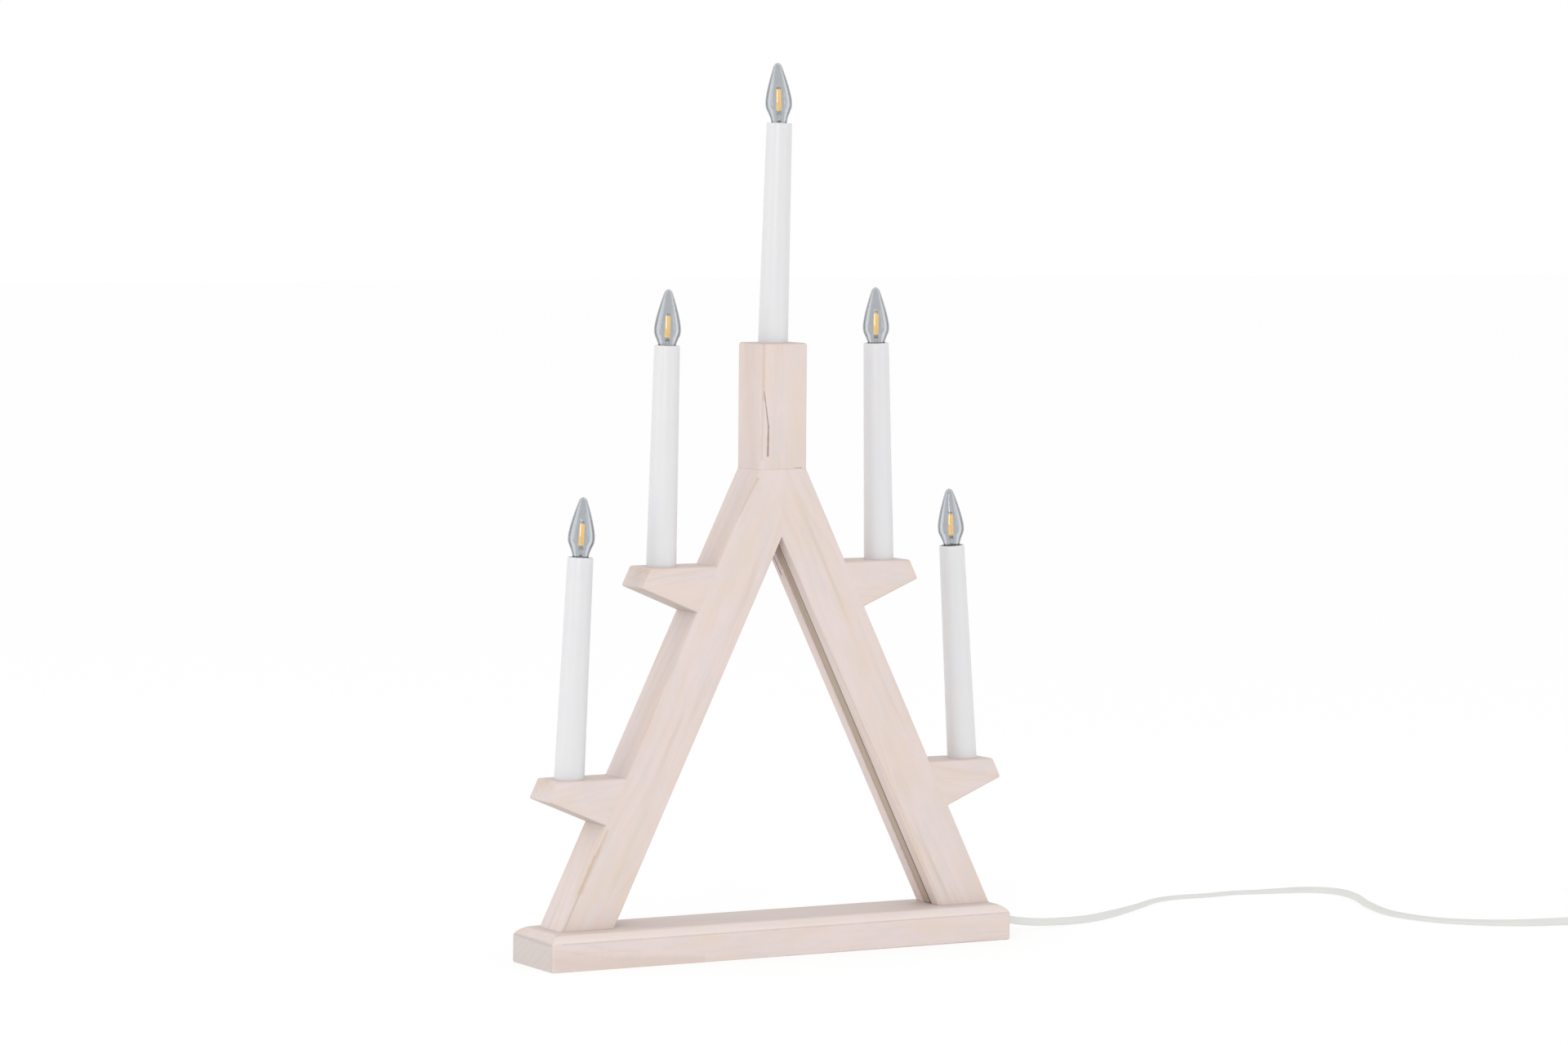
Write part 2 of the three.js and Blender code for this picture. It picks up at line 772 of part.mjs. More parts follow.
function lampFilament() {
  const { neckRadius, glassWall, neckDepth, stemFoot, stemRadius } = lamp;
  const { stickCount, stickRadius, stickSpread, stickFoot, stickLength, stickSunk, stickTwist } = lamp;
  const footRadius = neckRadius - glassWall - clearance;
  let body = toSolid(turned([
    [0, -neckDepth],
    [footRadius, -neckDepth],
    [footRadius, stemFoot / 2 - neckDepth],
    [stemRadius, stemFoot],
    [stemRadius, stickFoot],
    [stickSpread, stickFoot],
    [stickSpread, stickFoot + stickRadius],
    [0, stickFoot + stickRadius],
  ], sides.tiny));
  const top = stickFoot + stickLength;
  for (let i = 0; i < stickCount; i++) {
    const angle = (i * 2 * Math.PI) / stickCount;
    const at = (turn) => [stickSpread * Math.cos(angle + turn), stickSpread * Math.sin(angle + turn)];
    const low = [...at(0), stickFoot + stickSunk];
    const high = [...at(stickTwist), top + stickSunk];
    body = body.add(toSolid(barBetween(low, high, stickRadius, sides.stick)));
  }
  const bridge = turned([
    [0, top],
    [stickSpread, top],
    [stickSpread, top + stickRadius],
    [0, top + stickRadius],
  ], sides.tiny);
  return body.add(toSolid(bridge));
}

// Wiring

function riserWire(candle) {
  const axis = candleAxis(candle);
  const top = candle.mouth - holder.height - clearance;
  const end = [candle.x + axis[0] * top, 0, candle.z + axis[2] * top];
  if (candle.side === 0) {
    const turnIn = [candle.x, 0, candle.z - spigot.stemDepth];
    const start = [0, 0, apexHeight + groove.depth / Math.sin(frame.legAngle)];
    return wireTube([start, turnIn, end], wire.riserRadius, wire.bend);
  }
  const cross = crossBore(candle);
  return wireTube([cross.inner, cross.meet, end], wire.riserRadius, wire.bend);
}

// Depth of the loop in the leg, measured from the leg's outer face.
const loopDepth = frame.legWidth - groove.depth + clearance + wire.loopRadius;
const loopY = -(groove.width / 2 - clearance - wire.loopRadius);
const channelWireY = channel.width / 2 - clearance - wire.loopRadius;
const wiringRight = channelRight - clearance - frame.shiftX;
const spliceHeight = base.height - wire.bend;

function legWiring() {
  const low = base.height + wire.bend;
  const apex = [0, loopY, apexHeight + (frame.legWidth - loopDepth) / Math.sin(frame.legAngle)];
  const foot = inLeg(1, loopDepth, loopY, low);
  const points = [
    [-foot[0], foot[1], spliceHeight + clearance],
    [-foot[0], foot[1], low],
    apex,
    [foot[0], foot[1], low],
    [foot[0], -channelWireY, wire.channelHeight],
    [wiringRight, -channelWireY, wire.channelHeight],
  ];
  return wireTube(points, wire.loopRadius, wire.bend);
}

function baseWiring() {
  const foot = inLeg(-1, loopDepth, loopY, base.height + wire.bend);
  const points = [
    [foot[0], foot[1], spliceHeight],
    [foot[0], foot[1], wire.channelHeight + wire.returnRise],
    [foot[0] + wire.returnRun, channelWireY, wire.channelHeight],
    [wiringRight, channelWireY, wire.channelHeight],
  ];
  return wireTube(points, wire.loopRadius, wire.bend);
}

// Flat lead

// Direction of the lead's wide side: level at turn 0 and upright at turn 90.
function wideDirection(tangent, turn) {
  const level = new THREE.Vector3(0, 0, 1).cross(tangent).normalize();
  return level.applyAxisAngle(tangent, THREE.MathUtils.degToRad(turn));
}

// A curve that turns the section about it as its stations say.
class FlatRoute extends THREE.CatmullRomCurve3 {
  constructor(points, turns) {
    super(points, false, 'centripetal');
    this.turns = turns;
  }

  turnAt(u) {
    const t = this.getUtoTmapping(u) * (this.turns.length - 1);
    const i = Math.min(Math.floor(t), this.turns.length - 2);
    return THREE.MathUtils.lerp(this.turns[i], this.turns[i + 1], t - i);
  }

  computeFrenetFrames(segments) {
    const tangents = [];
    const normals = [];
    const binormals = [];
    for (let i = 0; i <= segments; i++) {
      const tangent = this.getTangentAt(i / segments);
      const wide = wideDirection(tangent, this.turnAt(i / segments));
      tangents.push(tangent);
      normals.push(wide);
      binormals.push(tangent.clone().cross(wide));
    }
    return { tangents, normals, binormals };
  }
}

// Half section of the lead with eight sides: wide along x, thin along y.
const cordSection = [
  [1, 0.5],
  [0.72, 1],
  [-0.72, 1],
  [-1, 0.5],
  [-1, -0.5],
  [-0.72, -1],
  [0.72, -1],
  [1, -0.5],
].map(([x, y]) => new THREE.Vector2((x * cord.width) / 2, (y * cord.thickness) / 2));

const coilCentre = [base.length / 2 + coil.centreX, coil.centreY];
const coilStart = [coilCentre[0], coilCentre[1] - coil.outerRadius, cord.width / 2 + cord.floorGap];

function mainsLead() {
  const start = [reliefOut + clearance, 0, cord.exitHeight, 90];
  const afterStart = [start[0] + cord.width / 2, 0, cord.exitHeight, 90];
  const straight = cord.width + clearance;
  const end = [coilStart[0] - straight, coilStart[1], coilStart[2], 90];
  const beforeEnd = [end[0] - cord.width, end[1], end[2], 90];
  const laid = leadRoute.map(([out, y, z, turn]) => [base.length / 2 + out, y, z, turn]);
  const stations = [start, afterStart, ...laid, beforeEnd, end];
  const points = stations.map(([x, y, z]) => new THREE.Vector3(x, y, z));
  const route = new FlatRoute(points, stations.map((station) => station[3]));
  return new THREE.ExtrudeGeometry(new THREE.Shape(cordSection), {
    steps: leadSteps,
    bevelEnabled: false,
    extrudePath: route,
  });
}

// The coil: its loops wind in on the floor, climb one layer in the half turn where they reverse, and
// wind out again.
function coilCentreLine() {
  const { outerRadius, pitch, turns, layerRise, climbTurns, stepsPerTurn } = coil;
  const steps = Math.round(turns * stepsPerTurn);
  const points = [[coilStart[0] - cord.width, coilStart[1], coilStart[2], 90]];
  for (let step = 0; step <= steps; step++) {
    const turn = (step / steps) * turns;
    const radius = outerRadius - pitch * Math.min(turn, turns - turn);
    const climb = THREE.MathUtils.smoothstep(turn, (turns - climbTurns) / 2, (turns + climbTurns) / 2);
    const angle = 2 * Math.PI * turn - Math.PI / 2;
    points.push([
      coilCentre[0] + radius * Math.cos(angle),
      coilCentre[1] + radius * Math.sin(angle),
      coilStart[2] + layerRise * climb,
      90,
    ]);
  }
  return points;
}

// The tail from the coil's last turn to the plug: straight on, sinking a little and turning flat.
function tailLine() {
  const line = coilCentreLine();
  const last = line[line.length - 1];
  const plugHeight = plug.height / 2 + plug.lift;
  const steps = Math.round(coil.tailLength / cord.width);
  const tail = [];
  for (let step = 1; step <= steps; step++) {
    const share = step / steps;
    const flat = THREE.MathUtils.smoothstep(share, coil.tailTurnFrom, coil.tailTurnTo);
    tail.push([
      last[0],
      last[1] + share * coil.tailLength,
      THREE.MathUtils.lerp(last[2], plugHeight, flat),
      90 * (1 - flat),
    ]);
  }
  return tail;
}

const coilSection = [[1, 0], [0.55, 1], [-0.55, 1], [-1, 0], [-0.55, -1], [0.55, -1]];

function leadCoil() {
  const line = [...coilCentreLine(), ...tailLine()];
  const section = coilSection.map(([x, y]) => [(x * cord.width) / 2, (y * cord.thickness) / 2]);
  const points = line.map(([x, y, z]) => new THREE.Vector3(x, y, z));
  return sweep(points, section, (tangent, i) => wideDirection(tangent, line[i][3]));
}

// Least gap between two turns of the coil, on the points of its centre line.
function coilGap() {
  const line = coilCentreLine();
  const apart = Math.round(coil.stepsPerTurn / 2);
  let least = Infinity;
  for (let i = 0; i < line.length; i++) {
    for (let j = i + apart; j < line.length; j++) {
      const level = Math.hypot(line[i][0] - line[j][0], line[i][1] - line[j][1]) - cord.thickness;
      const upright = Math.abs(line[i][2] - line[j][2]) - cord.width;
      least = Math.min(least, Math.max(level, upright));
    }
  }
  return least;
}
console.log(`least gap between the coil's turns: ${coilGap().toFixed(2)} mm`);

// Strain relief, with its axis along +Z and the board's end face at z = 0.
function strainRelief() {
  const { radius, flangeRadius, flange, nose, noseWidth, noseHeight, noseCorner } = relief;
  const { endMargin, endCorner, cornerSteps } = relief;
  const endHeight = cord.width + endMargin;
  const endWidth = cord.thickness + endMargin;
  const length = channel.endWall;
  const body = toSolid(turned([
    [0, -length],
    [radius, -length],
    [radius, clearance],
    [flangeRadius, clearance],
    [flangeRadius, clearance + flange],
    [0, clearance + flange],
  ]));
  const wideEnd = roundedRectangle(noseHeight, noseWidth, noseCorner, cornerSteps);
  const smallEnd = roundedRectangle(endHeight, endWidth, endCorner, cornerSteps);
  return body.add(toSolid(ringStack([
    ringAt(wideEnd, clearance + flange / 2),
    ringAt(smallEnd, clearance + flange + nose),
  ])));
}

// Plug, with its axis along +Z: the lead enters at z = 0 and the pins stand on the face at its far end.
function plugBody() {
  const { width, height, length, cornerShare, cornerSteps } = plug;
  return ringStack(plugProfile.map(([along, wide, high]) => {
    const [ringWidth, ringHeight] = [wide * width, high * height];
    const outline = roundedRectangle(ringWidth, ringHeight, ringHeight * cornerShare, cornerSteps);
    return ringAt(outline, along * length);
  }));
}

function plugPin() {
  const { pinRadius, pinLength, pinTip } = plug;
  return turned([
    [0, 0],
    [pinRadius, 0],
    [pinRadius, pinLength - pinTip],
    [pinRadius / 2, pinLength],
    [0, pinLength],
  ]);
}

// Assembly

const candlestick = new THREE.Group();

const board = new THREE.Group();
board.add(node('base_board', baseBoard(), pine));
board.add(node('base_channel_cover', channelCover(), rawStrip));
const cordRelief = node('strain_relief', strainRelief(), cordPlastic);
cordRelief.rotation.y = Math.PI / 2;
cordRelief.position.set(base.length / 2, 0, cord.exitHeight);
board.add(cordRelief);
candlestick.add(board);

const upright = new THREE.Group();
upright.position.x = frame.shiftX;
const leftAndRight = [[-1, 'left'], [1, 'right']];
for (const [side, label] of leftAndRight) {
  upright.add(node(`${label}_leg`, leg(side), pine));
  upright.add(node(`${label}_groove_strip`, grooveStrip(side), rawStrip));
  upright.add(node(`${label}_neck_dowel`, barBetween(
    [side * dowel.offsetX, 0, jointHeight - dowel.length / 2],
    [side * dowel.offsetX, 0, jointHeight + dowel.length / 2],
    dowel.radius), beech));
}
upright.add(node('neck_post', neck(), pine));
for (const place of screwPlaces()) {
  const fastener = node(`${place.name}_leg_screw`, woodScrew(), steel);
  fastener.position.set(place.x, place.y, screw.recess);
  upright.add(fastener);
}
for (const candle of candles) {
  if (candle.side !== 0) {
    upright.add(node(`${candle.name}_shelf`, wedgeShelf(candle), pine));
  }
  upright.add(node(`${candle.name}_riser_wire`, riserWire(candle), cordPlastic));

  const stand = new THREE.Group();
  stand.position.set(candle.x, 0, candle.z);
  stand.rotation.y = candle.angle;
  stand.add(node(`${candle.name}_sleeve`, candleSleeve(candle), plastic));
  stand.add(node(`${candle.name}_spigot`, sleeveSpigot(), beech));
  const socket = node(`${candle.name}_lamp_holder`, lampHolder(), plastic);
  socket.position.z = candle.mouth;
  stand.add(socket);

  const light = new THREE.Group();
  light.position.z = candle.mouth;
  light.rotation.y = candle.lampAngle;
  light.add(node(`${candle.name}_lamp_cap`, lampCap(), nickel));
  light.add(node(`${candle.name}_lamp_glass`, lampGlass(), clearGlass));
  light.add(node(`${candle.name}_lamp_filament`, lampFilament(), amber));
  stand.add(light);
  upright.add(stand);
}
upright.add(node('leg_wiring', legWiring(), cordPlastic));
upright.add(node('base_wiring', baseWiring(), cordPlastic));
candlestick.add(upright);

candlestick.add(node('mains_lead', mainsLead(), cordPlastic));
candlestick.add(node('lead_coil', leadCoil(), cordPlastic));
const tail = tailLine();
const plugEnd = tail[tail.length - 1];
const plugGroup = new THREE.Group();
plugGroup.position.set(plugEnd[0], plugEnd[1] + clearance, plugEnd[2]);
plugGroup.rotation.x = -Math.PI / 2;
plugGroup.add(node('plug_body', plugBody(), cordPlastic));
for (const [side, label] of leftAndRight) {
  const pin = node(`plug_${label}_pin`, plugPin(), pinBrass);
  pin.position.set(side * plug.pinSpacing / 2, 0, plug.length + clearance);
  pin.rotation.y = -side * plug.pinToeIn;
  plugGroup.add(pin);
}
candlestick.add(plugGroup);

export default candlestick;
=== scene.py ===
# Advent candlestick: a white-glazed pine frame on a board, five plastic candles with clear flame
# lamps, and a flat white lead. Sizes are millimetres until a mesh is finished, then metres.
import math

import bmesh
import bpy
from mathutils import Matrix, Vector


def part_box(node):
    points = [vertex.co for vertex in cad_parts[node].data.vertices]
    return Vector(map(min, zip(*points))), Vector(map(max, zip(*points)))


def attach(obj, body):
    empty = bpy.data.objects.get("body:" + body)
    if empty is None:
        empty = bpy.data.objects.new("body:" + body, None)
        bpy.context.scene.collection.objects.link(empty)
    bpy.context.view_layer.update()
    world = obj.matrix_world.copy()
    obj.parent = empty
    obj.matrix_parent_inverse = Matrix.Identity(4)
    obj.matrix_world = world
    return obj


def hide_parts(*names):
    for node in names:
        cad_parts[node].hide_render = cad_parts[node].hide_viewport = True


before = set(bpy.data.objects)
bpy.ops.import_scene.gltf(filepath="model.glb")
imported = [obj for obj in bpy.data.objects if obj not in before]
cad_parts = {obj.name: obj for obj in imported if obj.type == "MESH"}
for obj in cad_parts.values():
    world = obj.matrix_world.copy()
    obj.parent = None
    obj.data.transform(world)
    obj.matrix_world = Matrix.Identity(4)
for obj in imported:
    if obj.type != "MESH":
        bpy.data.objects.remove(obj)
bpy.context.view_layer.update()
mm = 0.001
print("frame loaded:", len(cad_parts), "nodes")


def boxOf(node):
    low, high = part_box(node)
    return low / mm, high / mm


def middleOf(node):
    return [(low + high) / 2 for low, high in zip(*boxOf(node))]


def rotation(axis, degrees):
    return Matrix.Rotation(math.radians(degrees), 4, axis)


def placed(name, data):
    # a new object in the scene, at the origin
    item = bpy.data.objects.new(name, data)
    bpy.context.scene.collection.objects.link(item)
    return item


# Camera, where the photograph was taken from

view = {
    "place": (-1.665545, -2.991344, 0.509324), "turn": -29.26815, "dip": 3.97660, "roll": 0.47259,
    "lens": 125.295, "sensor": 36, "near": 0.05, "far": 50,
}


def makeCamera():
    data = bpy.data.cameras.new("camera")
    data.lens = view["lens"]
    data.sensor_width = view["sensor"]
    data.sensor_fit = "HORIZONTAL"
    data.clip_start = view["near"]
    data.clip_end = view["far"]
    camera = placed("camera", data)
    camera.matrix_world = (Matrix.Translation(view["place"]) @ rotation("Z", view["turn"])
                           @ rotation("X", 90 - view["dip"]) @ rotation("Z", view["roll"]))
    bpy.context.scene.camera = camera


makeCamera()
print("camera set")


# Frame sizes: the boxes of the CAD, and what these don't give

boardLow, boardHigh = boxOf("base_board")
legLow, legHigh = boxOf("left_leg")
neckLow, neckHigh = boxOf("neck_post")
upright = {
    "angle": 26, "legWidth": 34, "corner": 0.9, "cornerSteps": 5, "grooveWidth": 10, "grooveDepth": 9,
    "grooveEdge": 0.5, "topEasing": 1.6, "topSteps": 6, "footEasing": 0.15,
}
frameX = legHigh.x
thickness = legHigh.y - legLow.y
jointHeight = legHigh.z
neckWidth = neckHigh.x - neckLow.x
lean = math.radians(upright["angle"])
slope = math.tan(lean)


def legOuterX(z):
    return neckWidth / 2 + (jointHeight - z) * slope


def legPlace(side):
    # from the leg's own frame, with z along it and x = 0 on its outer face, to the frame's
    return (Matrix.Translation((frameX + side * neckWidth / 2, 0, jointHeight))
            @ rotation("Y", -side * upright["angle"]))


def legFace(side):
    # a point on the leg's outer face, and the face's outward direction
    return legPlace(side).translation, Vector((side * math.cos(lean), 0, math.sin(lean)))


# Nodes: a value that carries a socket, and one method that makes any node

class Value:
    # a socket in arithmetic: each operator adds a Math node
    def __init__(self, kit, socket):
        self.kit = kit
        self.socket = socket

    def math(self, operation, *others):
        return self.kit.add("ShaderNodeMath", {"operation": operation}, dict(enumerate((self, *others))))

    def __add__(self, other):
        return self.math("ADD", other)

    def __mul__(self, other):
        return self.math("MULTIPLY", other)

    def __sub__(self, other):
        return self.math("SUBTRACT", other)

    def __rsub__(self, other):
        return self.kit.add("ShaderNodeMath", {"operation": "SUBTRACT"}, {0: other, 1: self})

    def __truediv__(self, other):
        return self.math("DIVIDE", other)

    def __pow__(self, other):
        return self.math("POWER", other)

    __radd__ = __add__
    __rmul__ = __mul__


class Kit:
    # the nodes of one tree
    def __init__(self, tree):
        self.tree = tree

    def add(self, kind, settings=None, sockets=None, out=0):
        # any node: its kind, its settings, and the values or links of its sockets; gives one output
        node = self.tree.nodes.new(kind)
        for name, setting in (settings or {}).items():
            if name == "stops":
                self.setStops(node.color_ramp, setting)
            else:
                setattr(node, name, setting)
        for name, value in (sockets or {}).items():
            if isinstance(value, Value):
                self.tree.links.new(value.socket, node.inputs[name])
            else:
                node.inputs[name].default_value = value
        return Value(self, node.outputs[out]) if node.outputs else node

    def setStops(self, ramp, stops):
        while len(ramp.elements) < len(stops):
            ramp.elements.new(1)
        for element, (place, shade) in zip(ramp.elements, stops):
            element.position = place
            element.color = shade if isinstance(shade, tuple) else (shade, shade, shade, 1)

    def ramp(self, factor, stops):
        return self.add("ShaderNodeValToRGB", {"stops": stops}, {0: factor})

    def mix(self, factor, first, second):
        # a Mix node's sockets 6 and 7 and its output 2 are the colours
        return self.add("ShaderNodeMix", {"data_type": "RGBA"}, {0: factor, 6: first, 7: second}, out=2)

    def coordinate(self, kind="Object"):
        return self.add("ShaderNodeTexCoord", out=kind)

    def axis(self, vector, letter):
        return self.add("ShaderNodeSeparateXYZ", None, {0: vector}, out=letter)

    def noise(self, vector, scale, detail=2.0, roughness=0.5):
        return self.add("ShaderNodeTexNoise", None,
                        {"Vector": vector, "Scale": scale, "Detail": detail, "Roughness": roughness})

    def cloud(self, vector, along, across, shift, detail=2.0, roughness=0.5):
        # noise with its own scale along x and across it
        drawn = self.add("ShaderNodeMapping", None, {
            "Vector": vector, "Scale": (along, across, across), "Location": shift})
        return self.noise(drawn, 1, detail, roughness)


def linear(level):
    # a channel's level in a picture, 0 to 255, as linear light
    level /= 255
    return level / 12.92 if level <= 0.04045 else ((level + 0.055) / 1.055) ** 2.4


def tone(red, green, blue):
    # a picture's colour, as the nodes take it
    return linear(red), linear(green), linear(blue), 1


def newLook(name):
    look = bpy.data.materials.new(name)
    look.use_nodes = True
    look.node_tree.nodes.clear()
    return look, Kit(look.node_tree)


def closeLook(kit, sockets, bump=None, bumpDepth=0.0001, bumpStrength=0.4):
    # the surface shader at the end of every finish
    if bump is not None:
        sockets["Normal"] = kit.add("ShaderNodeBump", None, {
            "Height": bump, "Distance": bumpDepth, "Strength": bumpStrength})
    surface = kit.add("ShaderNodeBsdfPrincipled", None, sockets)
    kit.add("ShaderNodeOutputMaterial", None, {"Surface": surface})


# Glazed pine

# tones of the glaze; top and under are painted shade for the faces that look up and those that look down
glaze = {
    "rose": (223, 208, 206), "cream": (219, 202, 189), "ash": (214, 205, 204), "late": (199, 177, 156),
    "bare": (203, 180, 156), "cut": (203, 194, 190), "cutLine": (183, 171, 166), "rough": (188, 178, 174),
    # seam darkens cracks and joints, and is also painted shadow round the legs' feet and along the board's
    # foot
    "seam": (136, 118, 114), "gapShadow": (98, 84, 74), "under": (186, 175, 168), "top": (196, 184, 179),
    # thick: the tone of the painted highlight on the board's rounding
    "thick": (240, 229, 224),
    "creamDepth": 0.75, "ashDepth": 0.7, "ringDepth": 0.24, "streakDepth": 0.42, "fibreDepth": 0.16,
    "wearDepth": 0.6, "bendWearDepth": 0.15, "cutDepth": 0.16, "underShadeDepth": 0.8, "topShadeDepth": 0.4,
    "bendHighlightDepth": 0.5, "footShadowDepth": 0.75,
    "ringSpacing": 4.6, "wander": 34, "ripple": 3.2, "wobble": 0.9, "wobbleScale": 220, "seedStep": 310,
    "wearFloor": 0.4, "roughness": 0.56, "lateRoughness": 0.08, "lateHeight": 0.4,
    "bumpDepth": 0.00012, "bumpStrength": 0.35,
}
clouds = {
    # scale along and across the grain, detail, roughness
    "wander": (0.0045, 0.011, 2, 0.5), "ripple": (0.02, 0.09, 3, 0.5), "patch": (0.008, 0.045, 3, 0.5),
    "creamy": (0.018, 0.06, 5, 0.62), "ashen": (0.035, 0.11, 5, 0.65), "streak": (0.007, 0.19, 3, 0.55),
    "fibre": (0.06, 2.6, 3, 0.6), "planed": (0.03, 1.4, 4, 0.6), "band": (0.008, 0.25, 2, 0.5),
}
fades = {
    # stops of the ramps, each a place and a level
    "patch": [(0.42, 0), (0.66, 1)], "creamy": [(0.43, 0), (0.64, 1)], "ashen": [(0.46, 0), (0.66, 1)],
    "streak": [(0.57, 0), (0.7, 1)], "late": [(0, 0.1), (0.35, 0), (0.72, 0.35), (0.9, 1), (1, 0.1)],
    "endCut": [(0.72, 0), (0.86, 1)], "arris": [(0.76, 1), (0.93, 0)], "mark": [(0.35, 1), (1, 0)],
    "bend": [(0.4, 0), (0.52, 1), (0.9, 1), (0.97, 0)], "besideEnds": [(0.25, 1), (0.5, 0.15)],
    "top": [(0.93, 0), (0.99, 1)], "under": [(0.35, 0), (0.8, 1)], "seam": [(0, 1), (0.75, 0)],
    "footShadowUp": [(0.5, 0), (0.8, 1)], "gapShadowUp": [(0.02, 1), (0.25, 0.45)], "middle": [(0.35, 0), (0.65, 1)],
}


def grainCloud(kit, grain, kind, shift):
    along, across, detail, roughness = clouds[kind]
    noise = kit.cloud(grain, along, across, shift, detail, roughness)
    return kit.ramp(noise, fades[kind]) if kind in fades else noise


def grainOf(kit, place, turn, start=0):
    # millimetres along and across the grain
    return kit.add("ShaderNodeMapping", None, {
        "Vector": place, "Scale": (1 / mm, 1 / mm, 1 / mm), "Rotation": turn, "Location": (start, 0, 0)})


def layered(kit, colour, layers):
    # tones of the glaze laid over a colour, each (mask, name of its depth, name of its tone)
    for mask, depth, shade in layers:
        colour = kit.mix(mask * glaze[depth], colour, tone(*glaze[shade]))
    return colour


def mark(kit, place, start, end, startWidth, endWidth):
    # 1 on the line from start to end, fading to 0 at half the width, which changes from start to end
    rise = Vector(end) - Vector(start)
    apart = kit.add("ShaderNodeVectorMath", {"operation": "SUBTRACT"}, {0: place, 1: [x * mm for x in start]})
    share = kit.add("ShaderNodeVectorMath", {"operation": "DOT_PRODUCT"}, {
        0: apart, 1: rise / (rise.length ** 2 * mm)}, out="Value")
    share = kit.add("ShaderNodeMath", {"operation": "ADD", "use_clamp": True}, {0: share, 1: 0})
    nearest = kit.add("ShaderNodeVectorMath", {"operation": "SCALE"}, {0: rise * mm, "Scale": share})
    distance = kit.add("ShaderNodeVectorMath", {"operation": "DISTANCE"}, {0: apart, 1: nearest}, out="Value")
    wobble = kit.noise(place, glaze["wobbleScale"], detail=3) - 0.5
    width = share * ((endWidth - startWidth) / 2) + startWidth / 2
    return kit.ramp(distance / mm / width + wobble * glaze["wobble"], fades["mark"])


def onFace(axis, at, across, height):
    return (at, across, height) if axis == "x" else (across, at, height)


def strokes(axis, at, rows):
    # marks on the face where x or y has one value: each end across and up, both widths, depth and tone
    return [(onFace(axis, at, *row[:2]), onFace(axis, at, *row[2:4]), *row[4:]) for row in rows]


def growthRings(kit, grain, pith, seed):
    # 1 on the dark late wood of each ring about a pith line along the grain
    wander = grainCloud(kit, grain, "wander", (0, seed, seed)) - 0.5
    ripple = grainCloud(kit, grain, "ripple", (seed, 0, 0)) - 0.5
    across, beside = kit.axis(grain, "Y") - pith[0], kit.axis(grain, "Z") - pith[1]
    radius = (across * across + beside * beside) ** 0.5
    place = (radius + wander * glaze["wander"] + ripple * glaze["ripple"]) / glaze["ringSpacing"]
    return kit.ramp(place.math("FRACT"), fades["late"])


def paintedFootShadow(kit, place, upward, middle, halfLength):
    # painted shadow: 1 on the top just beside a leg's foot that stands there
    beyondX = (kit.axis(place, "X") - middle * mm).math("ABSOLUTE") - halfLength * mm
    beyondY = kit.axis(place, "Y").math("ABSOLUTE") - thickness / 2 * mm
    return kit.ramp(beyondX.math("MAXIMUM", beyondY) / mm, fades["seam"]) * kit.ramp(upward, fades["footShadowUp"])


def glazedPine(name, grainTurn, pith, seed, cutShare=1.0, rounded=False, feet=(), marks=()):
    # growth rings under a thin white glaze that lies unevenly and is worn at the arrises, with painted shade
    # on tops and undersides; grainTurn in degrees about y, rounded where the arrises wear less and a painted
    # highlight lies on the bend, feet the middles and half lengths of what stands on it, each with a painted
    # shadow round it, marks the strokes that only this piece has
    look, kit = newLook(name)
    turn = (0, math.radians(grainTurn), 0)
    place, normal = kit.coordinate(), kit.coordinate("Normal")
    grain = grainOf(kit, place, turn, seed * glaze["seedStep"])
    facing = kit.add("ShaderNodeMapping", {"vector_type": "NORMAL"}, {"Vector": normal, "Rotation": turn})
    late = growthRings(kit, grain, pith, seed)
    patch = grainCloud(kit, grain, "patch", (seed, seed, 0))
    creamy = grainCloud(kit, grain, "creamy", (0, seed * 2, 0))
    ashen = grainCloud(kit, grain, "ashen", (seed * 3, 0, 0))
    streak = grainCloud(kit, grain, "streak", (0, 0, seed))
    fibre = grainCloud(kit, grain, "fibre", (0, 0, 0))
    along, front, top = (kit.axis(facing, letter).math("ABSOLUTE") for letter in "XYZ")
    arris = kit.ramp(along.math("MAXIMUM", front).math("MAXIMUM", top), fades["arris"])
    worn = arris * (creamy * (1 - glaze["wearFloor"]) + glaze["wearFloor"])
    colour = layered(kit, tone(*glaze["rose"]), [
        (creamy, "creamDepth", "cream"), (ashen, "ashDepth", "ash"), (late * patch, "ringDepth", "late"),
        (streak * patch, "streakDepth", "late"), (fibre, "fibreDepth", "late"),
        (worn, "bendWearDepth" if rounded else "wearDepth", "bare")])
    sawn = layered(kit, tone(*glaze["cut"]), [(late, "cutDepth", "cutLine")])
    colour = kit.mix(kit.ramp(along, fades["endCut"]) * cutShare, colour, sawn)
    upward = kit.axis(normal, "Z")
    # painted highlight: a lighter band where the rounding turns up towards the light, kept off the ends
    if rounded:
        bend = kit.ramp(upward, fades["bend"]) * kit.ramp(along, fades["besideEnds"])
        colour = layered(kit, colour, [(bend, "bendHighlightDepth", "thick")])
    # painted shade: tops and undersides darker, by which way they face
    colour = layered(kit, colour, [(kit.ramp(upward, fades["top"]), "topShadeDepth", "top"),
                                   (kit.ramp(upward * -1, fades["under"]), "underShadeDepth", "under")])
    for *line, depth, shade in marks:
        colour = kit.mix(mark(kit, place, *line) * depth, colour, tone(*glaze[shade]))
    # painted shadow round each foot that stands on the board
    colour = layered(kit, colour, [
        (paintedFootShadow(kit, place, upward, *foot), "footShadowDepth", "seam") for foot in feet])
    closeLook(kit, {"Base Color": colour, "Roughness": late * glaze["lateRoughness"] + glaze["roughness"]},
              late * glaze["lateHeight"] + fibre, glaze["bumpDepth"], glaze["bumpStrength"])
    return look


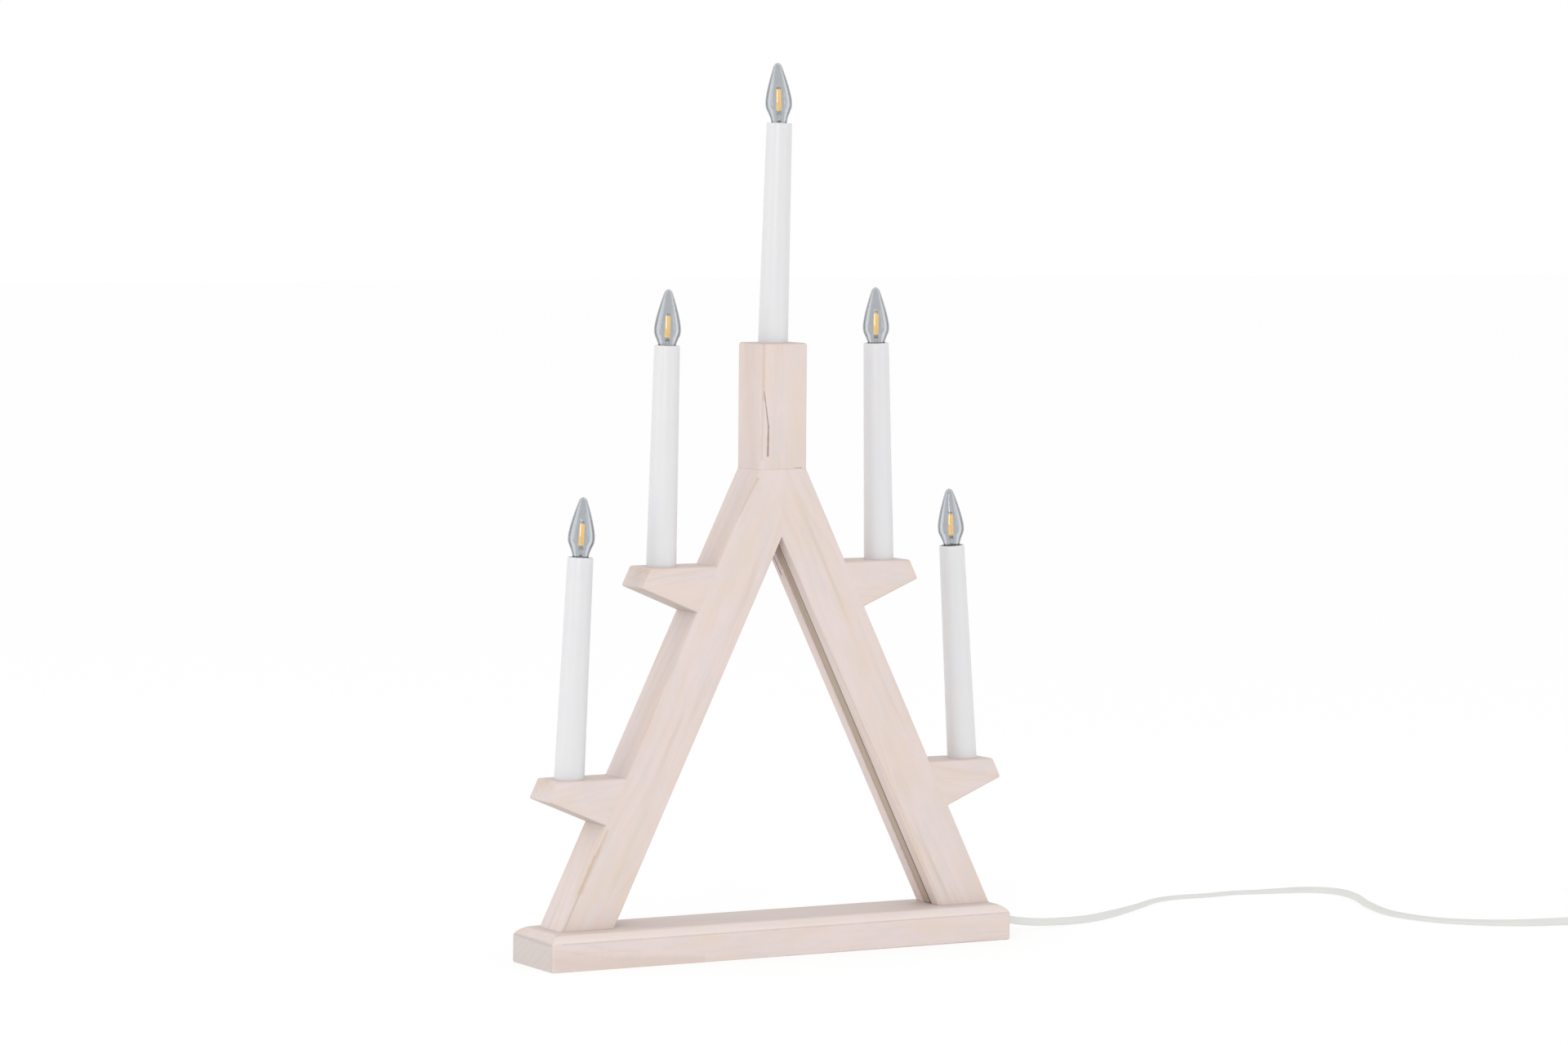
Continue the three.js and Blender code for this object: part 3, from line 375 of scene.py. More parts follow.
def makePines():
    # the finishes of the frame's pieces, each with its own cut of timber and its own marks
    foot = upright["legWidth"] / math.cos(lean) / 2
    feet = [(frameX + side * (legOuterX(boardHigh.z) - foot), foot) for side in (-1, 1)]
    # the last stroke on the front, low along its foot, is a painted shadow line
    boardMarks = strokes("x", boardLow.x, [
        (25, 17.9, 2, 17.2, 2.2, 2.6, 0.7, "rough"), (2, 17.2, -27, 16.6, 2.8, 2, 0.7, "rough"),
        (-4.5, 3.2, -20, 12.8, 1.6, 1.1, 0.45, "rough")]) + strokes("y", boardLow.y, [
        (-158, 17.3, 60, 17.5, 1.1, 1.2, 0.5, "rough"), (60, 17.5, 163, 17.5, 1.2, 1.1, 0.6, "rough"),
        (-165, 6, -60, 2, 15, 6, 0.3, "late"), (95, 12, 165, 11, 5, 4, 0.4, "cream"),
        (0, 0.2, 165, 0.2, 0.8, 1.2, 0.5, "seam")])
    leftMarks = strokes("y", legLow.y, [
        (-15.9, 300.2, -39.4, 259.4, 2.5, 1.2, 0.6, "late"), (-120, 84, -139, 47, 3, 5, 0.5, "late"),
        (-129.1, 68.3, -150.3, 23.2, 2.4, 1.1, 0.8, "late"), (-124.5, 75, -128, 68, 2.2, 3.4, 0.5, "bare")])
    rightMarks = strokes("y", legLow.y, [
        (21.2, 222.6, 44.8, 175.2, 0.9, 1.2, 0.6, "late"), (44.8, 175.2, 88.2, 89.9, 1.2, 1.6, 0.5, "late"),
        (88.2, 89.9, 120.5, 23.4, 1.6, 3, 0.35, "late")])
    innerMark = ((8.4, 9.0, 249.4), (14.3, 9.1, 237.4), 1.6, 1.6, 1.0, "seam")
    neckMarks = strokes("y", neckLow.y, [
        (-12.4, 388, -12.4, 350, 4.2, 3, 0.5, "late"), (-12.6, 352, -13.4, 312, 3, 2.4, 0.35, "late"),
        (-11.8, 354.5, -8.6, 332.5, 0.8, 1.5, 0.75, "seam"),
        (-8.6, 332.5, -8.9, 314.2, 1.5, 1.9, 0.85, "seam"), (9.8, 306.3, 15.1, 306.2, 0.5, 0.9, 0.6, "seam")])
    underMark = ((-95.1, 6.5, 238.2), (-91.9, -9.1, 244.9), 1.1, 0.8, 0.5, "late")
    shelfCut = 0.3
    return {
        "board": glazedPine("pine board", 0, (42, 96), 1.3, rounded=True, feet=feet, marks=boardMarks),
        "left": glazedPine("pine left leg", 64, (46, 70), 2.1, marks=leftMarks),
        "right": glazedPine("pine right leg", 116, (52, -64), 3.7, marks=[*rightMarks, innerMark]),
        "neck": glazedPine("pine neck", 90, (40, 75), 4.6, marks=neckMarks),
        "upper_left": glazedPine("pine upper left shelf", 8, (50, -70), 5.2, shelfCut, marks=[underMark]),
        "upper_right": glazedPine("pine upper right shelf", -8, (-46, 76), 6.9, shelfCut),
        "lower_left": glazedPine("pine lower left shelf", 6, (38, -60), 8.6, shelfCut),
        "lower_right": glazedPine("pine lower right shelf", -7, (60, 66), 10.3, shelfCut),
    }


# Other finishes

bareWood = {"reach": 10, "roughness": 0.75}
plasticSkin = {"cloudScale": 40, "warmth": (2, 1, -2), "unevenness": 0.08, "ior": 1.48, "bleed": 0.003,
               "bumpDepth": 0.00003, "bumpStrength": 0.3}
brushing = {"scale": 900, "detail": 3, "spread": 0.15, "drop": 0.07, "bumpDepth": 0.00002,
            "bumpStrength": 0.3}
glassBody = {"blend": 0.5, "ior": 1.5}
coating = {"gritScale": 2500, "roughness": 0.5, "bumpDepth": 0.00005, "bumpStrength": 0.3}


def rawWood(name, colours, grainTurn, seed, gapShadow=()):
    # a planed strip or a turned peg without any finish; the last argument, if given, adds a painted shadow
    # along the gap in front of the strip, darker towards its foot: how far in front of the frame's middle it
    # begins, and where it is darkest
    look, kit = newLook(name)
    place = kit.coordinate()
    grain = grainOf(kit, place, (0, math.radians(grainTurn), 0))
    fibre = grainCloud(kit, grain, "planed", (seed, 0, 0))
    band = grainCloud(kit, grain, "band", (0, seed, 0))
    share = kit.ramp((band + fibre) / 2, fades["middle"])
    colour = kit.mix(share, *(tone(*shade) for shade in colours))
    if gapShadow:
        # painted shadow in the gap between the strip and the leg's front lip, deepening towards the foot
        reach = bareWood["reach"]
        front = kit.axis(place, "Y") / (-reach * mm)
        dark = kit.ramp(front, [(gapShadow[0] / reach, 0), (gapShadow[1] / reach, 1)])
        dark = dark * kit.ramp(kit.axis(place, "Z"), fades["gapShadowUp"])
        colour = kit.mix(dark, colour, tone(*glaze["gapShadow"]))
    closeLook(kit, {"Base Color": colour, "Roughness": bareWood["roughness"]}, fibre)
    return look


def mouldedPlastic(name, colour, roughness, grain=0.35, milky=0.0):
    # smooth moulded plastic with a faint skin and slight unevenness of gloss
    look, kit = newLook(name)
    place = kit.coordinate()
    skin = kit.noise(place, 1 / (grain * mm))
    cloud = kit.noise(place, plasticSkin["cloudScale"])
    warm = [min(255, channel + shift) for channel, shift in zip(colour, plasticSkin["warmth"])]
    tinted = kit.mix(kit.ramp(cloud, fades["middle"]), tone(*colour), tone(*warm))
    uneven = plasticSkin["unevenness"]
    closeLook(kit, {"Base Color": tinted, "Roughness": cloud * uneven + (roughness - uneven / 2),
                    "IOR": plasticSkin["ior"], "Subsurface Weight": milky, "Subsurface Radius": (1, 1, 1),
                    "Subsurface Scale": plasticSkin["bleed"]},
              skin, plasticSkin["bumpDepth"], plasticSkin["bumpStrength"])
    return look


def bareMetal(name, colour, roughness):
    # brushed so finely that only the gloss shows it
    look, kit = newLook(name)
    brushed = kit.noise(kit.coordinate(), brushing["scale"], brushing["detail"])
    closeLook(kit, {"Base Color": tone(*colour), "Metallic": 1.0,
                    "Roughness": brushed * brushing["spread"] + (roughness - brushing["drop"])},
              brushed, brushing["bumpDepth"], brushing["bumpStrength"])
    return look


def blownGlass(name, stops):
    # clear glass; from the middle to the rim its colour greys, brightens in a painted highlight where the
    # wall turns, and goes dark in a painted dark rim
    look, kit = newLook(name)
    facing = kit.add("ShaderNodeLayerWeight", None, {"Blend": glassBody["blend"]}, out="Facing")
    colour = kit.ramp(facing, [(place, tone(*shade)) for place, shade in stops])
    closeLook(kit, {"Base Color": colour, "Roughness": 0.0, "IOR": glassBody["ior"],
                    "Transmission Weight": 1.0})
    return look


def paintedGlow(name, colour, second, glow):
    # what stands inside a lamp's glass, such as the yellow coating of its threads, with a painted glow
    # although the lamp is not lit
    look, kit = newLook(name)
    grit = kit.noise(kit.coordinate(), coating["gritScale"])
    tinted = kit.mix(grit, tone(*colour), tone(*second))
    closeLook(kit, {"Base Color": tinted, "Roughness": coating["roughness"], "Emission Color": tinted,
                    "Emission Strength": glow}, grit, coating["bumpDepth"], coating["bumpStrength"])
    return look


pine = makePines()
stripTones, stripGapShadow = ((192, 176, 160), (168, 151, 135)), (1.9, 3.1)
stripWood = {
    "left": rawWood("raw strip left", stripTones, 64, 0.7, stripGapShadow),
    "right": rawWood("raw strip right", stripTones, 116, 1.9, stripGapShadow),
}
coverWood = rawWood("raw cover", ((203, 180, 148), (186, 161, 128)), 0, 3.2)
beechWood = rawWood("beech", ((222, 196, 158), (205, 176, 136)), 90, 2.4)
sleevePlastic = mouldedPlastic("sleeve plastic", (219, 219, 222), 0.32, milky=0.3)
holderPlastic = mouldedPlastic("holder plastic", (226, 225, 222), 0.45, milky=0.3)
cordPlastic = mouldedPlastic("cord plastic", (217, 218, 216), 0.42, 0.6)
tiePlastic = mouldedPlastic("tie plastic", (205, 206, 206), 0.4)
wirePlastic = mouldedPlastic("wire plastic", (236, 234, 226), 0.45)
capMetal = bareMetal("cap nickel", (214, 211, 205), 0.32)
screwMetal = bareMetal("screw zinc", (176, 176, 172), 0.36)
pinMetal = bareMetal("pin nickel", (205, 200, 190), 0.26)
leadMetal = bareMetal("lamp wire", (150, 150, 152), 0.3)
# the glass's grey, its painted bright ring and its painted dark rim, by facing
clearGlass = blownGlass("lamp glass", [
    (0.0, (208, 211, 214)), (0.2, (210, 213, 216)), (0.27, (253, 253, 254)), (0.45, (253, 253, 254)),
    (0.54, (126, 131, 136)), (0.8, (98, 104, 110)), (1.0, (140, 145, 150))])
stemGlass = blownGlass("stem glass", [
    (0.0, (244, 246, 247)), (0.45, (236, 238, 240)), (0.8, (190, 194, 198))])
# the glow is painted light, making up for the light that the lamp's glass keeps from these parts
chipYellow = paintedGlow("filament yellow", (236, 184, 104), (250, 214, 142), 0.85)
cementWhite = paintedGlow("lamp cement", (226, 225, 222), (238, 237, 234), 0.4)
print("finishes made:", len(bpy.data.materials))


# Mesh tools, in millimetres

touching = 1e-4  # points nearer to each other than this are one
softened = 0.3  # where the middle of a small rounding lies, as a share of its size
past = 1  # how far cutters reach beyond the surface that they open
boreSides = 20


def quarter(steps):
    # cosine and sine at even steps from 0 to 90 degrees
    angles = [math.radians(90 * step / steps) for step in range(steps + 1)]
    return [(math.cos(angle), math.sin(angle)) for angle in angles]


def circle(radius, height, segments):
    turns = [2 * math.pi * i / segments for i in range(segments)]
    return [Vector((radius * math.cos(turn), radius * math.sin(turn), height)) for turn in turns]


def roundedRectangle(width, depth, radius, steps):
    points = []
    for signX, signY, start in ((1, 1, 0), (-1, 1, 90), (-1, -1, 180), (1, -1, 270)):
        for step in range(steps + 1):
            angle = math.radians(start + 90 * step / steps)
            points.append((signX * (width / 2 - radius) + radius * math.cos(angle),
                           signY * (depth / 2 - radius) + radius * math.sin(angle)))
    return points


def bridge(shape, rows, closed=False):
    # faces between neighbouring rows of vertices, and from the last row to the first if closed
    for lower, upper in zip(rows, rows[1:] + (rows[:1] if closed else [])):
        for i in range(len(lower)):
            j = (i + 1) % len(lower)
            corners = list(dict.fromkeys((lower[i], lower[j], upper[j], upper[i])))
            if len(corners) > 2:
                shape.faces.new(corners)


def loft(rings, shape=None):
    # skin over rings of equally many points, closed at both ends
    shape = bmesh.new() if shape is None else shape
    rows = [[shape.verts.new(point) for point in ring] for ring in rings]
    bridge(shape, rows)
    shape.faces.new(reversed(rows[0]))
    shape.faces.new(rows[-1])
    return shape


def stack(width, depth, corner, steps, levels, x=0):
    # rounded rectangles one above another, each (inset, height), with a skin over them
    return loft([[(x + across, deep, z) for across, deep in roundedRectangle(
        width - 2 * inset, depth - 2 * inset, corner, steps)] for inset, z in levels])


def lathe(profile, segments, place=Matrix(), shape=None):
    # profile of (radius, height) turned about z; a closed outline, or one that begins and ends on the axis
    shape = bmesh.new() if shape is None else shape
    closed = profile[0] == profile[-1]
    rows = []
    for radius, height in profile[:-1] if closed else profile:
        if radius < touching:
            rows.append([shape.verts.new(place @ Vector((0, 0, height)))] * segments)
        else:
            rows.append([shape.verts.new(place @ point) for point in circle(radius, height, segments)])
    bridge(shape, rows, closed)
    return shape


def trim(shape, point, normal):
    # cuts off what lies on the normal's side of a plane, and closes the cut
    cut = bmesh.ops.bisect_plane(shape, geom=shape.verts[:] + shape.edges[:] + shape.faces[:],
                                 dist=touching, plane_co=point, plane_no=normal, clear_outer=True)
    edges = [part for part in cut["geom_cut"] if isinstance(part, bmesh.types.BMEdge)]
    bmesh.ops.triangle_fill(shape, edges=edges, use_beauty=True)
    return shape


def between(a, b, low, high, t):
    share = (t - low) / (high - low)
    return [p + (q - p) * share for p, q in zip(a, b)]


def curveThrough(points, steps):
    # centripetal Catmull-Rom curve through points of any length, with the same number of steps in each span
    first = [2 * p - q for p, q in zip(points[0], points[1])]
    last = [2 * p - q for p, q in zip(points[-1], points[-2])]
    line = [first, *points, last]
    out = []
    for i in range(1, len(line) - 2):
        p0, p1, p2, p3 = line[i - 1:i + 3]
        t0 = 0
        t1 = t0 + math.dist(p0[:3], p1[:3]) ** 0.5
        t2 = t1 + math.dist(p1[:3], p2[:3]) ** 0.5
        t3 = t2 + math.dist(p2[:3], p3[:3]) ** 0.5
        for step in range(steps):
            t = t1 + (t2 - t1) * step / steps
            a1, a2, a3 = between(p0, p1, t0, t1, t), between(p1, p2, t1, t2, t), between(p2, p3, t2, t3, t)
            b1, b2 = between(a1, a2, t0, t2, t), between(a2, a3, t1, t3, t)
            out.append(between(b1, b2, t1, t2, t))
    out.append(list(points[-1]))
    return out


def meshOf(shape, name, unit=mm):
    # a mesh in metres; the shape is used up
    bmesh.ops.scale(shape, vec=(unit, unit, unit), verts=shape.verts)
    mesh = bpy.data.meshes.new(name)
    shape.to_mesh(mesh)
    shape.free()
    return mesh


def carved(shape, cutters):
    # the shape with the closed cutters taken out of it
    solids = []
    for solid in (shape, *cutters):
        bmesh.ops.recalc_face_normals(solid, faces=solid.faces)
        solids.append(placed("carving", meshOf(solid, "carving", 1)))
    for tool in solids[1:]:
        boolean = solids[0].modifiers.new("cut", "BOOLEAN")
        boolean.object = tool
        boolean.operation = "DIFFERENCE"
    graph = bpy.context.evaluated_depsgraph_get()
    result = bmesh.new()
    result.from_mesh(bpy.data.meshes.new_from_object(solids[0].evaluated_get(graph)))
    for solid in solids:
        bpy.data.objects.remove(solid)
    return result


def block(low, high):
    # a box for carving, from corner to corner
    ring = [(low[0], low[1]), (high[0], low[1]), (high[0], high[1]), (low[0], high[1])]
    return loft([[(x, y, z) for x, y in ring] for z in (low[2], high[2])])


def rod(start, end, radius, segments=boreSides):
    # a round bar for carving, from one point to another
    along = Vector(end) - Vector(start)
    place = Matrix.Translation(start) @ along.to_track_quat("Z", "Y").to_matrix().to_4x4()
    return lathe([(0, 0), (radius, 0), (radius, along.length), (0, along.length)], segments, place)


def settle(mesh, name, look, replaced, sharp, body):
    # smooth but for edges sharper than so many degrees, with its finish and body
    for face in mesh.polygons:
        face.use_smooth = True
    mesh.set_sharp_from_angle(angle=math.radians(sharp))
    mesh.materials.clear()
    mesh.materials.append(look)
    piece = placed(name, mesh)
    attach(piece, body)
    if replaced:
        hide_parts(*replaced)
    return piece


def asPiece(shape, name, look, replaced=(), sharp=34, body="stand"):
    # the shape with its double points joined and its faces turned outwards
    bmesh.ops.remove_doubles(shape, verts=shape.verts, dist=touching)
    bmesh.ops.recalc_face_normals(shape, faces=shape.faces)
    return settle(meshOf(shape, name), name, look, replaced, sharp, body)


def grownPiece(grower, name, look, replaced=(), sharp=34, body="stand", place=Matrix()):
    # the evaluated result of the grower's geometry tree, as a plain mesh in place
    graph = bpy.context.evaluated_depsgraph_get()
    mesh = bpy.data.meshes.new_from_object(grower.evaluated_get(graph))
    mesh.transform(place)
    mesh.name = name
    bpy.data.objects.remove(grower)
    return settle(mesh, name, look, replaced, sharp, body)


def treeOf(name, inputs):
    # an empty geometry tree with named inputs, each name with its kind
    tree = bpy.data.node_groups.new(name, "GeometryNodeTree")
    for way in ("INPUT", "OUTPUT"):
        tree.interface.new_socket("Geometry", in_out=way, socket_type="NodeSocketGeometry")
    for label, kind in inputs.items():
        tree.interface.new_socket(label, in_out="INPUT", socket_type=f"NodeSocket{kind}")
    kit = Kit(tree)
    entry = tree.nodes.new("NodeGroupInput")
    return tree, kit, {socket.name: Value(kit, socket) for socket in entry.outputs if socket.name}


def closeTree(kit, geometry, look):
    whole = kit.add("GeometryNodeRealizeInstances", None, {0: geometry})
    dressed = kit.add("GeometryNodeSetMaterial", None, {"Geometry": whole, "Material": look})
    kit.add("NodeGroupOutput", None, {0: dressed})


def grown(data, name, tree, values):
    # an object with a geometry tree on it, its inputs set by their identifiers
    grower = placed(name, data)
    modifier = grower.modifiers.new(name, "NODES")
    modifier.node_group = tree
    for item in tree.interface.items_tree:
        if item.in_out == "INPUT" and item.name in values:
            modifier[item.identifier] = values[item.name]
    return grower


# Lead: laid from the board's end, wound into a coil past the picture's edge, then on to the plug

lead = {
    "width": 5, "thickness": 2.5, "corner": 1.1, "cornerSteps": 5, "spanSteps": 6, "coilSteps": 40,
    "coilCentre": (612, -103), "coilRadius": 34, "coilPitch": 4.4, "coilTurns": 6.25, "layerRise": 6,
    "climbTurns": 0.5, "floorGap": 0.1, "tail": 50, "tailSteps": 16, "tailTurnFrom": 0.3,
    "tailTurnTo": 0.9, "plugAxis": 6.95, "length": 1.74,
}
# the laid stretch in metres: x, y, z of the centre line, and how far the flat section is turned on edge
leadRoute = [
    (0.1718, 0, 0.0103, 90), (0.1743, 0, 0.0103, 90), (0.1824, 0, 0.008, 90), (0.200, 0.0015, 0.0053, 90),
    (0.2265, 0.0085, 0.0032, 90), (0.249, 0.0135, 0.0027, 85), (0.277, 0.0275, 0.0025, 50),
    (0.313, 0.053, 0.0018, 10), (0.345, 0.076, 0.0015, 0), (0.365, 0.082, 0.0014, 0),
    (0.388, 0.081, 0.0014, 0), (0.412, 0.0835, 0.0014, 0), (0.429, 0.0795, 0.0015, 5),
    (0.444, 0.0758, 0.0018, 15), (0.458, 0.072, 0.0021, 25), (0.4675, 0.0665, 0.0022, 30),
    (0.474, 0.0575, 0.0023, 35), (0.476, 0.046, 0.0024, 40), (0.4715, 0.025, 0.0025, 45),
    (0.456, -0.014, 0.0024, 35), (0.448, -0.053, 0.0021, 20), (0.460, -0.092, 0.0019, 15),
    (0.491, -0.122, 0.0024, 35), (0.537, -0.1355, 0.0027, 75), (0.577, -0.137, 0.0027, 90),
    (0.6017, -0.137, 0.0026, 90), (0.6067, -0.137, 0.0026, 90),
]


def smoothStep(value, low, high):
    share = min(max((value - low) / (high - low), 0), 1)
    return share * share * (3 - 2 * share)


def coilLine():
    # winds in on the floor, climbs one layer where it reverses, winds out, and leaves towards the plug
    turns, centre = lead["coilTurns"], lead["coilCentre"]
    height = lead["width"] / 2 + lead["floorGap"]
    steps = round(turns * lead["coilSteps"])
    line = []
    for step in range(1, steps + 1):
        turn = turns * step / steps
        radius = lead["coilRadius"] - lead["coilPitch"] * min(turn, turns - turn)
        climb = smoothStep(turn, (turns - lead["climbTurns"]) / 2, (turns + lead["climbTurns"]) / 2)
        angle = 2 * math.pi * turn - math.pi / 2
        line.append([centre[0] + radius * math.cos(angle), centre[1] + radius * math.sin(angle),
                     height + lead["layerRise"] * climb, 90])
    x, y, z, _ = line[-1]
    for step in range(1, lead["tailSteps"] + 1):
        share = step / lead["tailSteps"]
        flat = smoothStep(share, lead["tailTurnFrom"], lead["tailTurnTo"])
        line.append([x, y + share * lead["tail"], z + (lead["plugAxis"] - z) * flat, 90 * (1 - flat)])
    return line


def leadTree():
    # a flat section swept along a line whose tilt lays it flat or stands it on edge
    tree, kit, given = treeOf("flat lead", {
        "Width": "Float", "Thickness": "Float", "Corner": "Float", "Corner Steps": "Int", "Look": "Material"})
    flat = kit.add("GeometryNodeCurvePrimitiveQuadrilateral", None, {
        "Width": given["Width"], "Height": given["Thickness"]})
    section = kit.add("GeometryNodeFilletCurve", {"mode": "POLY"}, {
        "Curve": flat, "Radius": given["Corner"], "Count": given["Corner Steps"]})
    swept = kit.add("GeometryNodeCurveToMesh", None, {
        "Curve": given["Geometry"], "Profile Curve": section, "Fill Caps": True})
    closeTree(kit, swept, given["Look"])
    return tree


def makeLead(ends):
    # the laid stretch, a straight one to the coil and the coil, as one cord
    laid = curveThrough(leadRoute, lead["spanSteps"])
    coiled = [[x * mm, y * mm, z * mm, turn] for x, y, z, turn in coilLine()]
    line = laid + [[lead["coilCentre"][0] * mm, laid[-1][1], laid[-1][2], 90]] + coiled
    data = bpy.data.curves.new("lead line", "CURVE")
    data.dimensions = "3D"
    data.twist_mode = "Z_UP"
    spline = data.splines.new("POLY")
    spline.points.add(len(line) - 1)
    for point, (x, y, z, turn) in zip(spline.points, line):
        point.co = (x, y, z, 1)
        point.tilt = math.radians(turn)
    grower = grown(data, "lead", leadTree(), {
        "Width": lead["width"] * mm, "Thickness": lead["thickness"] * mm, "Corner": lead["corner"] * mm,
        "Corner Steps": lead["cornerSteps"], "Look": cordPlastic})
    piece = grownPiece(grower, "lead", cordPlastic, ("mains_lead", "lead_coil"), sharp=60)
    return piece


# Strain relief in the board's end, with a ribbed nose

relief = {
    "barrel": 4.7, "flange": 5.8, "flangeLength": 1.2, "flangeEdge": 0.4, "gap": 0.3, "nose": 5,
    "noseRoot": 0.3, "noseWidth": 7, "noseHeight": 8, "noseCorner": 2.5, "endCorner": 1, "cornerSteps": 5,
    "flatEdge": 0.05, "ribs": 3, "ribSteps": 6, "ribDepth": 0.35, "endMargin": 1, "segments": 48,
}


def makeRelief():
    # a barrel in the board, a flange on it, and a nose with ribs that narrows to the lead's section
    barrel, flange, edge, root = relief["barrel"], relief["flange"], relief["flangeEdge"], relief["noseRoot"]
    place = Matrix.Translation((boardHigh.x, 0, middleOf("strain_relief")[2])) @ rotation("Y", 90)
    inside = boxOf("strain_relief")[0].x - boardHigh.x
    flangeTop = relief["gap"] + relief["flangeLength"]
    profile = [(0, inside), (barrel, inside), (barrel, 0), (flange, 0), (flange, flangeTop - edge),
               (flange - edge, flangeTop), (0, flangeTop)]
    shape = lathe(profile, relief["segments"], place)
    rings = []
    steps = relief["ribSteps"] * relief["ribs"]
    for step in range(steps + 1):
        share = step / steps
        wide = relief["noseHeight"] + (lead["width"] + relief["endMargin"] - relief["noseHeight"]) * share
        thin = relief["noseWidth"] + (lead["thickness"] + relief["endMargin"] - relief["noseWidth"]) * share
        dip = relief["ribDepth"] * (0.5 - 0.5 * math.cos(2 * math.pi * share * relief["ribs"]))
        corner = relief["noseCorner"] + (relief["endCorner"] - relief["noseCorner"]) * share
        corner = min(corner, (thin - dip) / 2 - relief["flatEdge"])
        outline = roundedRectangle(wide - dip, thin - dip, corner, relief["cornerSteps"])
        z = flangeTop - root + (relief["nose"] + root) * share
        rings.append([place @ Vector((x, y, z)) for x, y in outline])
    loft(rings, shape)
    return asPiece(shape, "strain_relief_moulding", cordPlastic, ("strain_relief",), sharp=40)


# Flat two-pin plug

plug = {
    "width": 35.3, "height": 13.7, "length": 36, "corner": 0.4, "cornerSteps": 8,
    # where along the body, and the share of its width and height there
    "stations": [(0, 0.255, 0.51), (0.12, 0.26, 0.53), (0.26, 0.29, 0.6), (0.33, 0.4, 0.7),
                 (0.38, 0.62, 0.84), (0.43, 0.83, 0.93), (0.49, 0.96, 0.985), (0.56, 1, 1), (0.75, 1, 1),
                 (0.95, 1, 1), (0.985, 0.99, 0.965), (1, 0.957, 0.89)],
}
pin = {"length": 19, "radius": 2, "tip": 1.6, "tipFlat": 0.35, "tipSteps": 5, "spacing": 18.6, "toe": 1.6,
       "gap": 0.3, "jacketLength": 10, "jacketBore": 0.5, "jacketWall": 0.02, "segments": 32}


def makePlug():
    x, _, z = middleOf("plug_body")
    place = Matrix.Translation((x, boxOf("plug_body")[0].y, z)) @ rotation("X", -90)
    rings = []
    for along, wide, tall in plug["stations"]:
        width, height = wide * plug["width"], tall * plug["height"]
        rings.append([place @ Vector((x, y, along * plug["length"])) for x, y in roundedRectangle(
            width, height, height * plug["corner"], plug["cornerSteps"])])
    body = asPiece(loft(rings), "plug_moulding", cordPlastic, ("plug_body",), sharp=40)
    return [body, makePin("plug_left_pin", -1, place), makePin("plug_right_pin", 1, place)]


def makePin(node, side, plugPlace):
    # a pin with a rounded tip, toed in a little, and the plastic jacket round its root
    place = (plugPlace @ Matrix.Translation((side * pin["spacing"] / 2, 0, plug["length"] + pin["gap"]))
             @ rotation("Y", -side * pin["toe"]))
    length, radius, tip, flat = pin["length"], pin["radius"], pin["tip"], pin["tipFlat"]
    profile = [(0, 0), (radius, 0), (radius, length - tip)]
    profile += [(radius * (flat + (1 - flat) * cosine), length - tip + tip * sine)
                for cosine, sine in quarter(pin["tipSteps"])[1:]]
    profile.append((0, length))
    metal = asPiece(lathe(profile, pin["segments"], place), f"{node}_metal", pinMetal, (node,),
                    sharp=40)
    thick, bore, cover = radius + pin["jacketWall"], pin["jacketBore"], pin["jacketLength"]
    jacket = [(bore, 0.0), (thick, 0.0), (thick, cover), (bore, cover), (bore, 0.0)]
    asPiece(lathe(jacket, pin["segments"], place), f"{node}_jacket", cordPlastic)
    return metal


# Tie round the coil's turns

tie = {"angle": 180, "width": 5, "thickness": 0.5, "clear": 0.1, "corner": 1.2, "cornerSteps": 5,
       "lift": 0.095, "floorLift": 0.005}


def tieOutline(innerX, outerX, bottom, top, corner):
    return [(x + (innerX + outerX) / 2, y + (bottom + top) / 2) for x, y in roundedRectangle(
        outerX - innerX, top - bottom, corner, tie["cornerSteps"])]


def makeTie():
    # a band round all the turns at one side of the coil
    beside = lead["thickness"] / 2 + tie["clear"]
    inner = lead["coilRadius"] - lead["coilPitch"] * lead["coilTurns"] / 2 - beside
    outer = lead["coilRadius"] + beside
    top = lead["floorGap"] + lead["width"] + lead["layerRise"] + tie["clear"]
    thick = tie["thickness"]
    inside = tieOutline(inner, outer, tie["lift"], top, tie["corner"])
    outside = tieOutline(inner - thick, outer + thick, tie["floorLift"], top + thick, tie["corner"] + thick)
    place = Matrix.Translation((*lead["coilCentre"], 0)) @ rotation("Z", tie["angle"])
    half = tie["width"] / 2
    shape = bmesh.new()
    bridge(shape, [[shape.verts.new(place @ Vector((x, y, z))) for x, z in outline] for outline, y in (
        (inside, -half), (outside, -half), (outside, half), (inside, half))], True)
    return asPiece(shape, "lead_tie", tiePlastic)


# Places of the candles, and the bores for their stems and wires

candles = {
    # side, lean of the sleeve, lean of the lamp in it, depth of the holder's mouth under the rim
    "centre": (0, 1.4, -3.8, 1), "upper_left": (-1, 1.3, 0, 3.7), "upper_right": (1, -1.4, 0, 3.3),
    "lower_left": (-1, 2.9, 0, 1.4), "lower_right": (1, -3.9, 0, 2.1),
}
spigot = {"stemRadius": 5, "stemDepth": 9, "stemSides": 24, "gap": 0.3, "clear": 3, "wireBore": 2.2,
          "boreDrop": 13}


def candlePlace(name):
    # the candle's own frame, with its foot on the shelf or the neck and z up its sleeve
    side, turn = candles[name][:2]
    top = boxOf(f"{name}_shelf")[1].z if side else neckHigh.z
    x = frameX + (side * (legOuterX(top) + shelf["candleOut"]) if side else 0)
    return Matrix.Translation((x, 0, top)) @ rotation("Y", turn)


def crossBore(name):
    # the bore for the wires, square to the leg, from its groove to the candle's axis inside the shelf
    meet = candlePlace(name) @ Vector((0, 0, -spigot["boreDrop"]))
    face, outward = legFace(candles[name][0])
    grooveMiddle = (upright["grooveDepth"] + groove["thickness"] + groove["recess"]) / 2
    inward = (meet - face).dot(outward) + upright["legWidth"] - grooveMiddle
    return rod(meet - outward * inward, meet + outward * spigot["wireBore"], spigot["wireBore"])


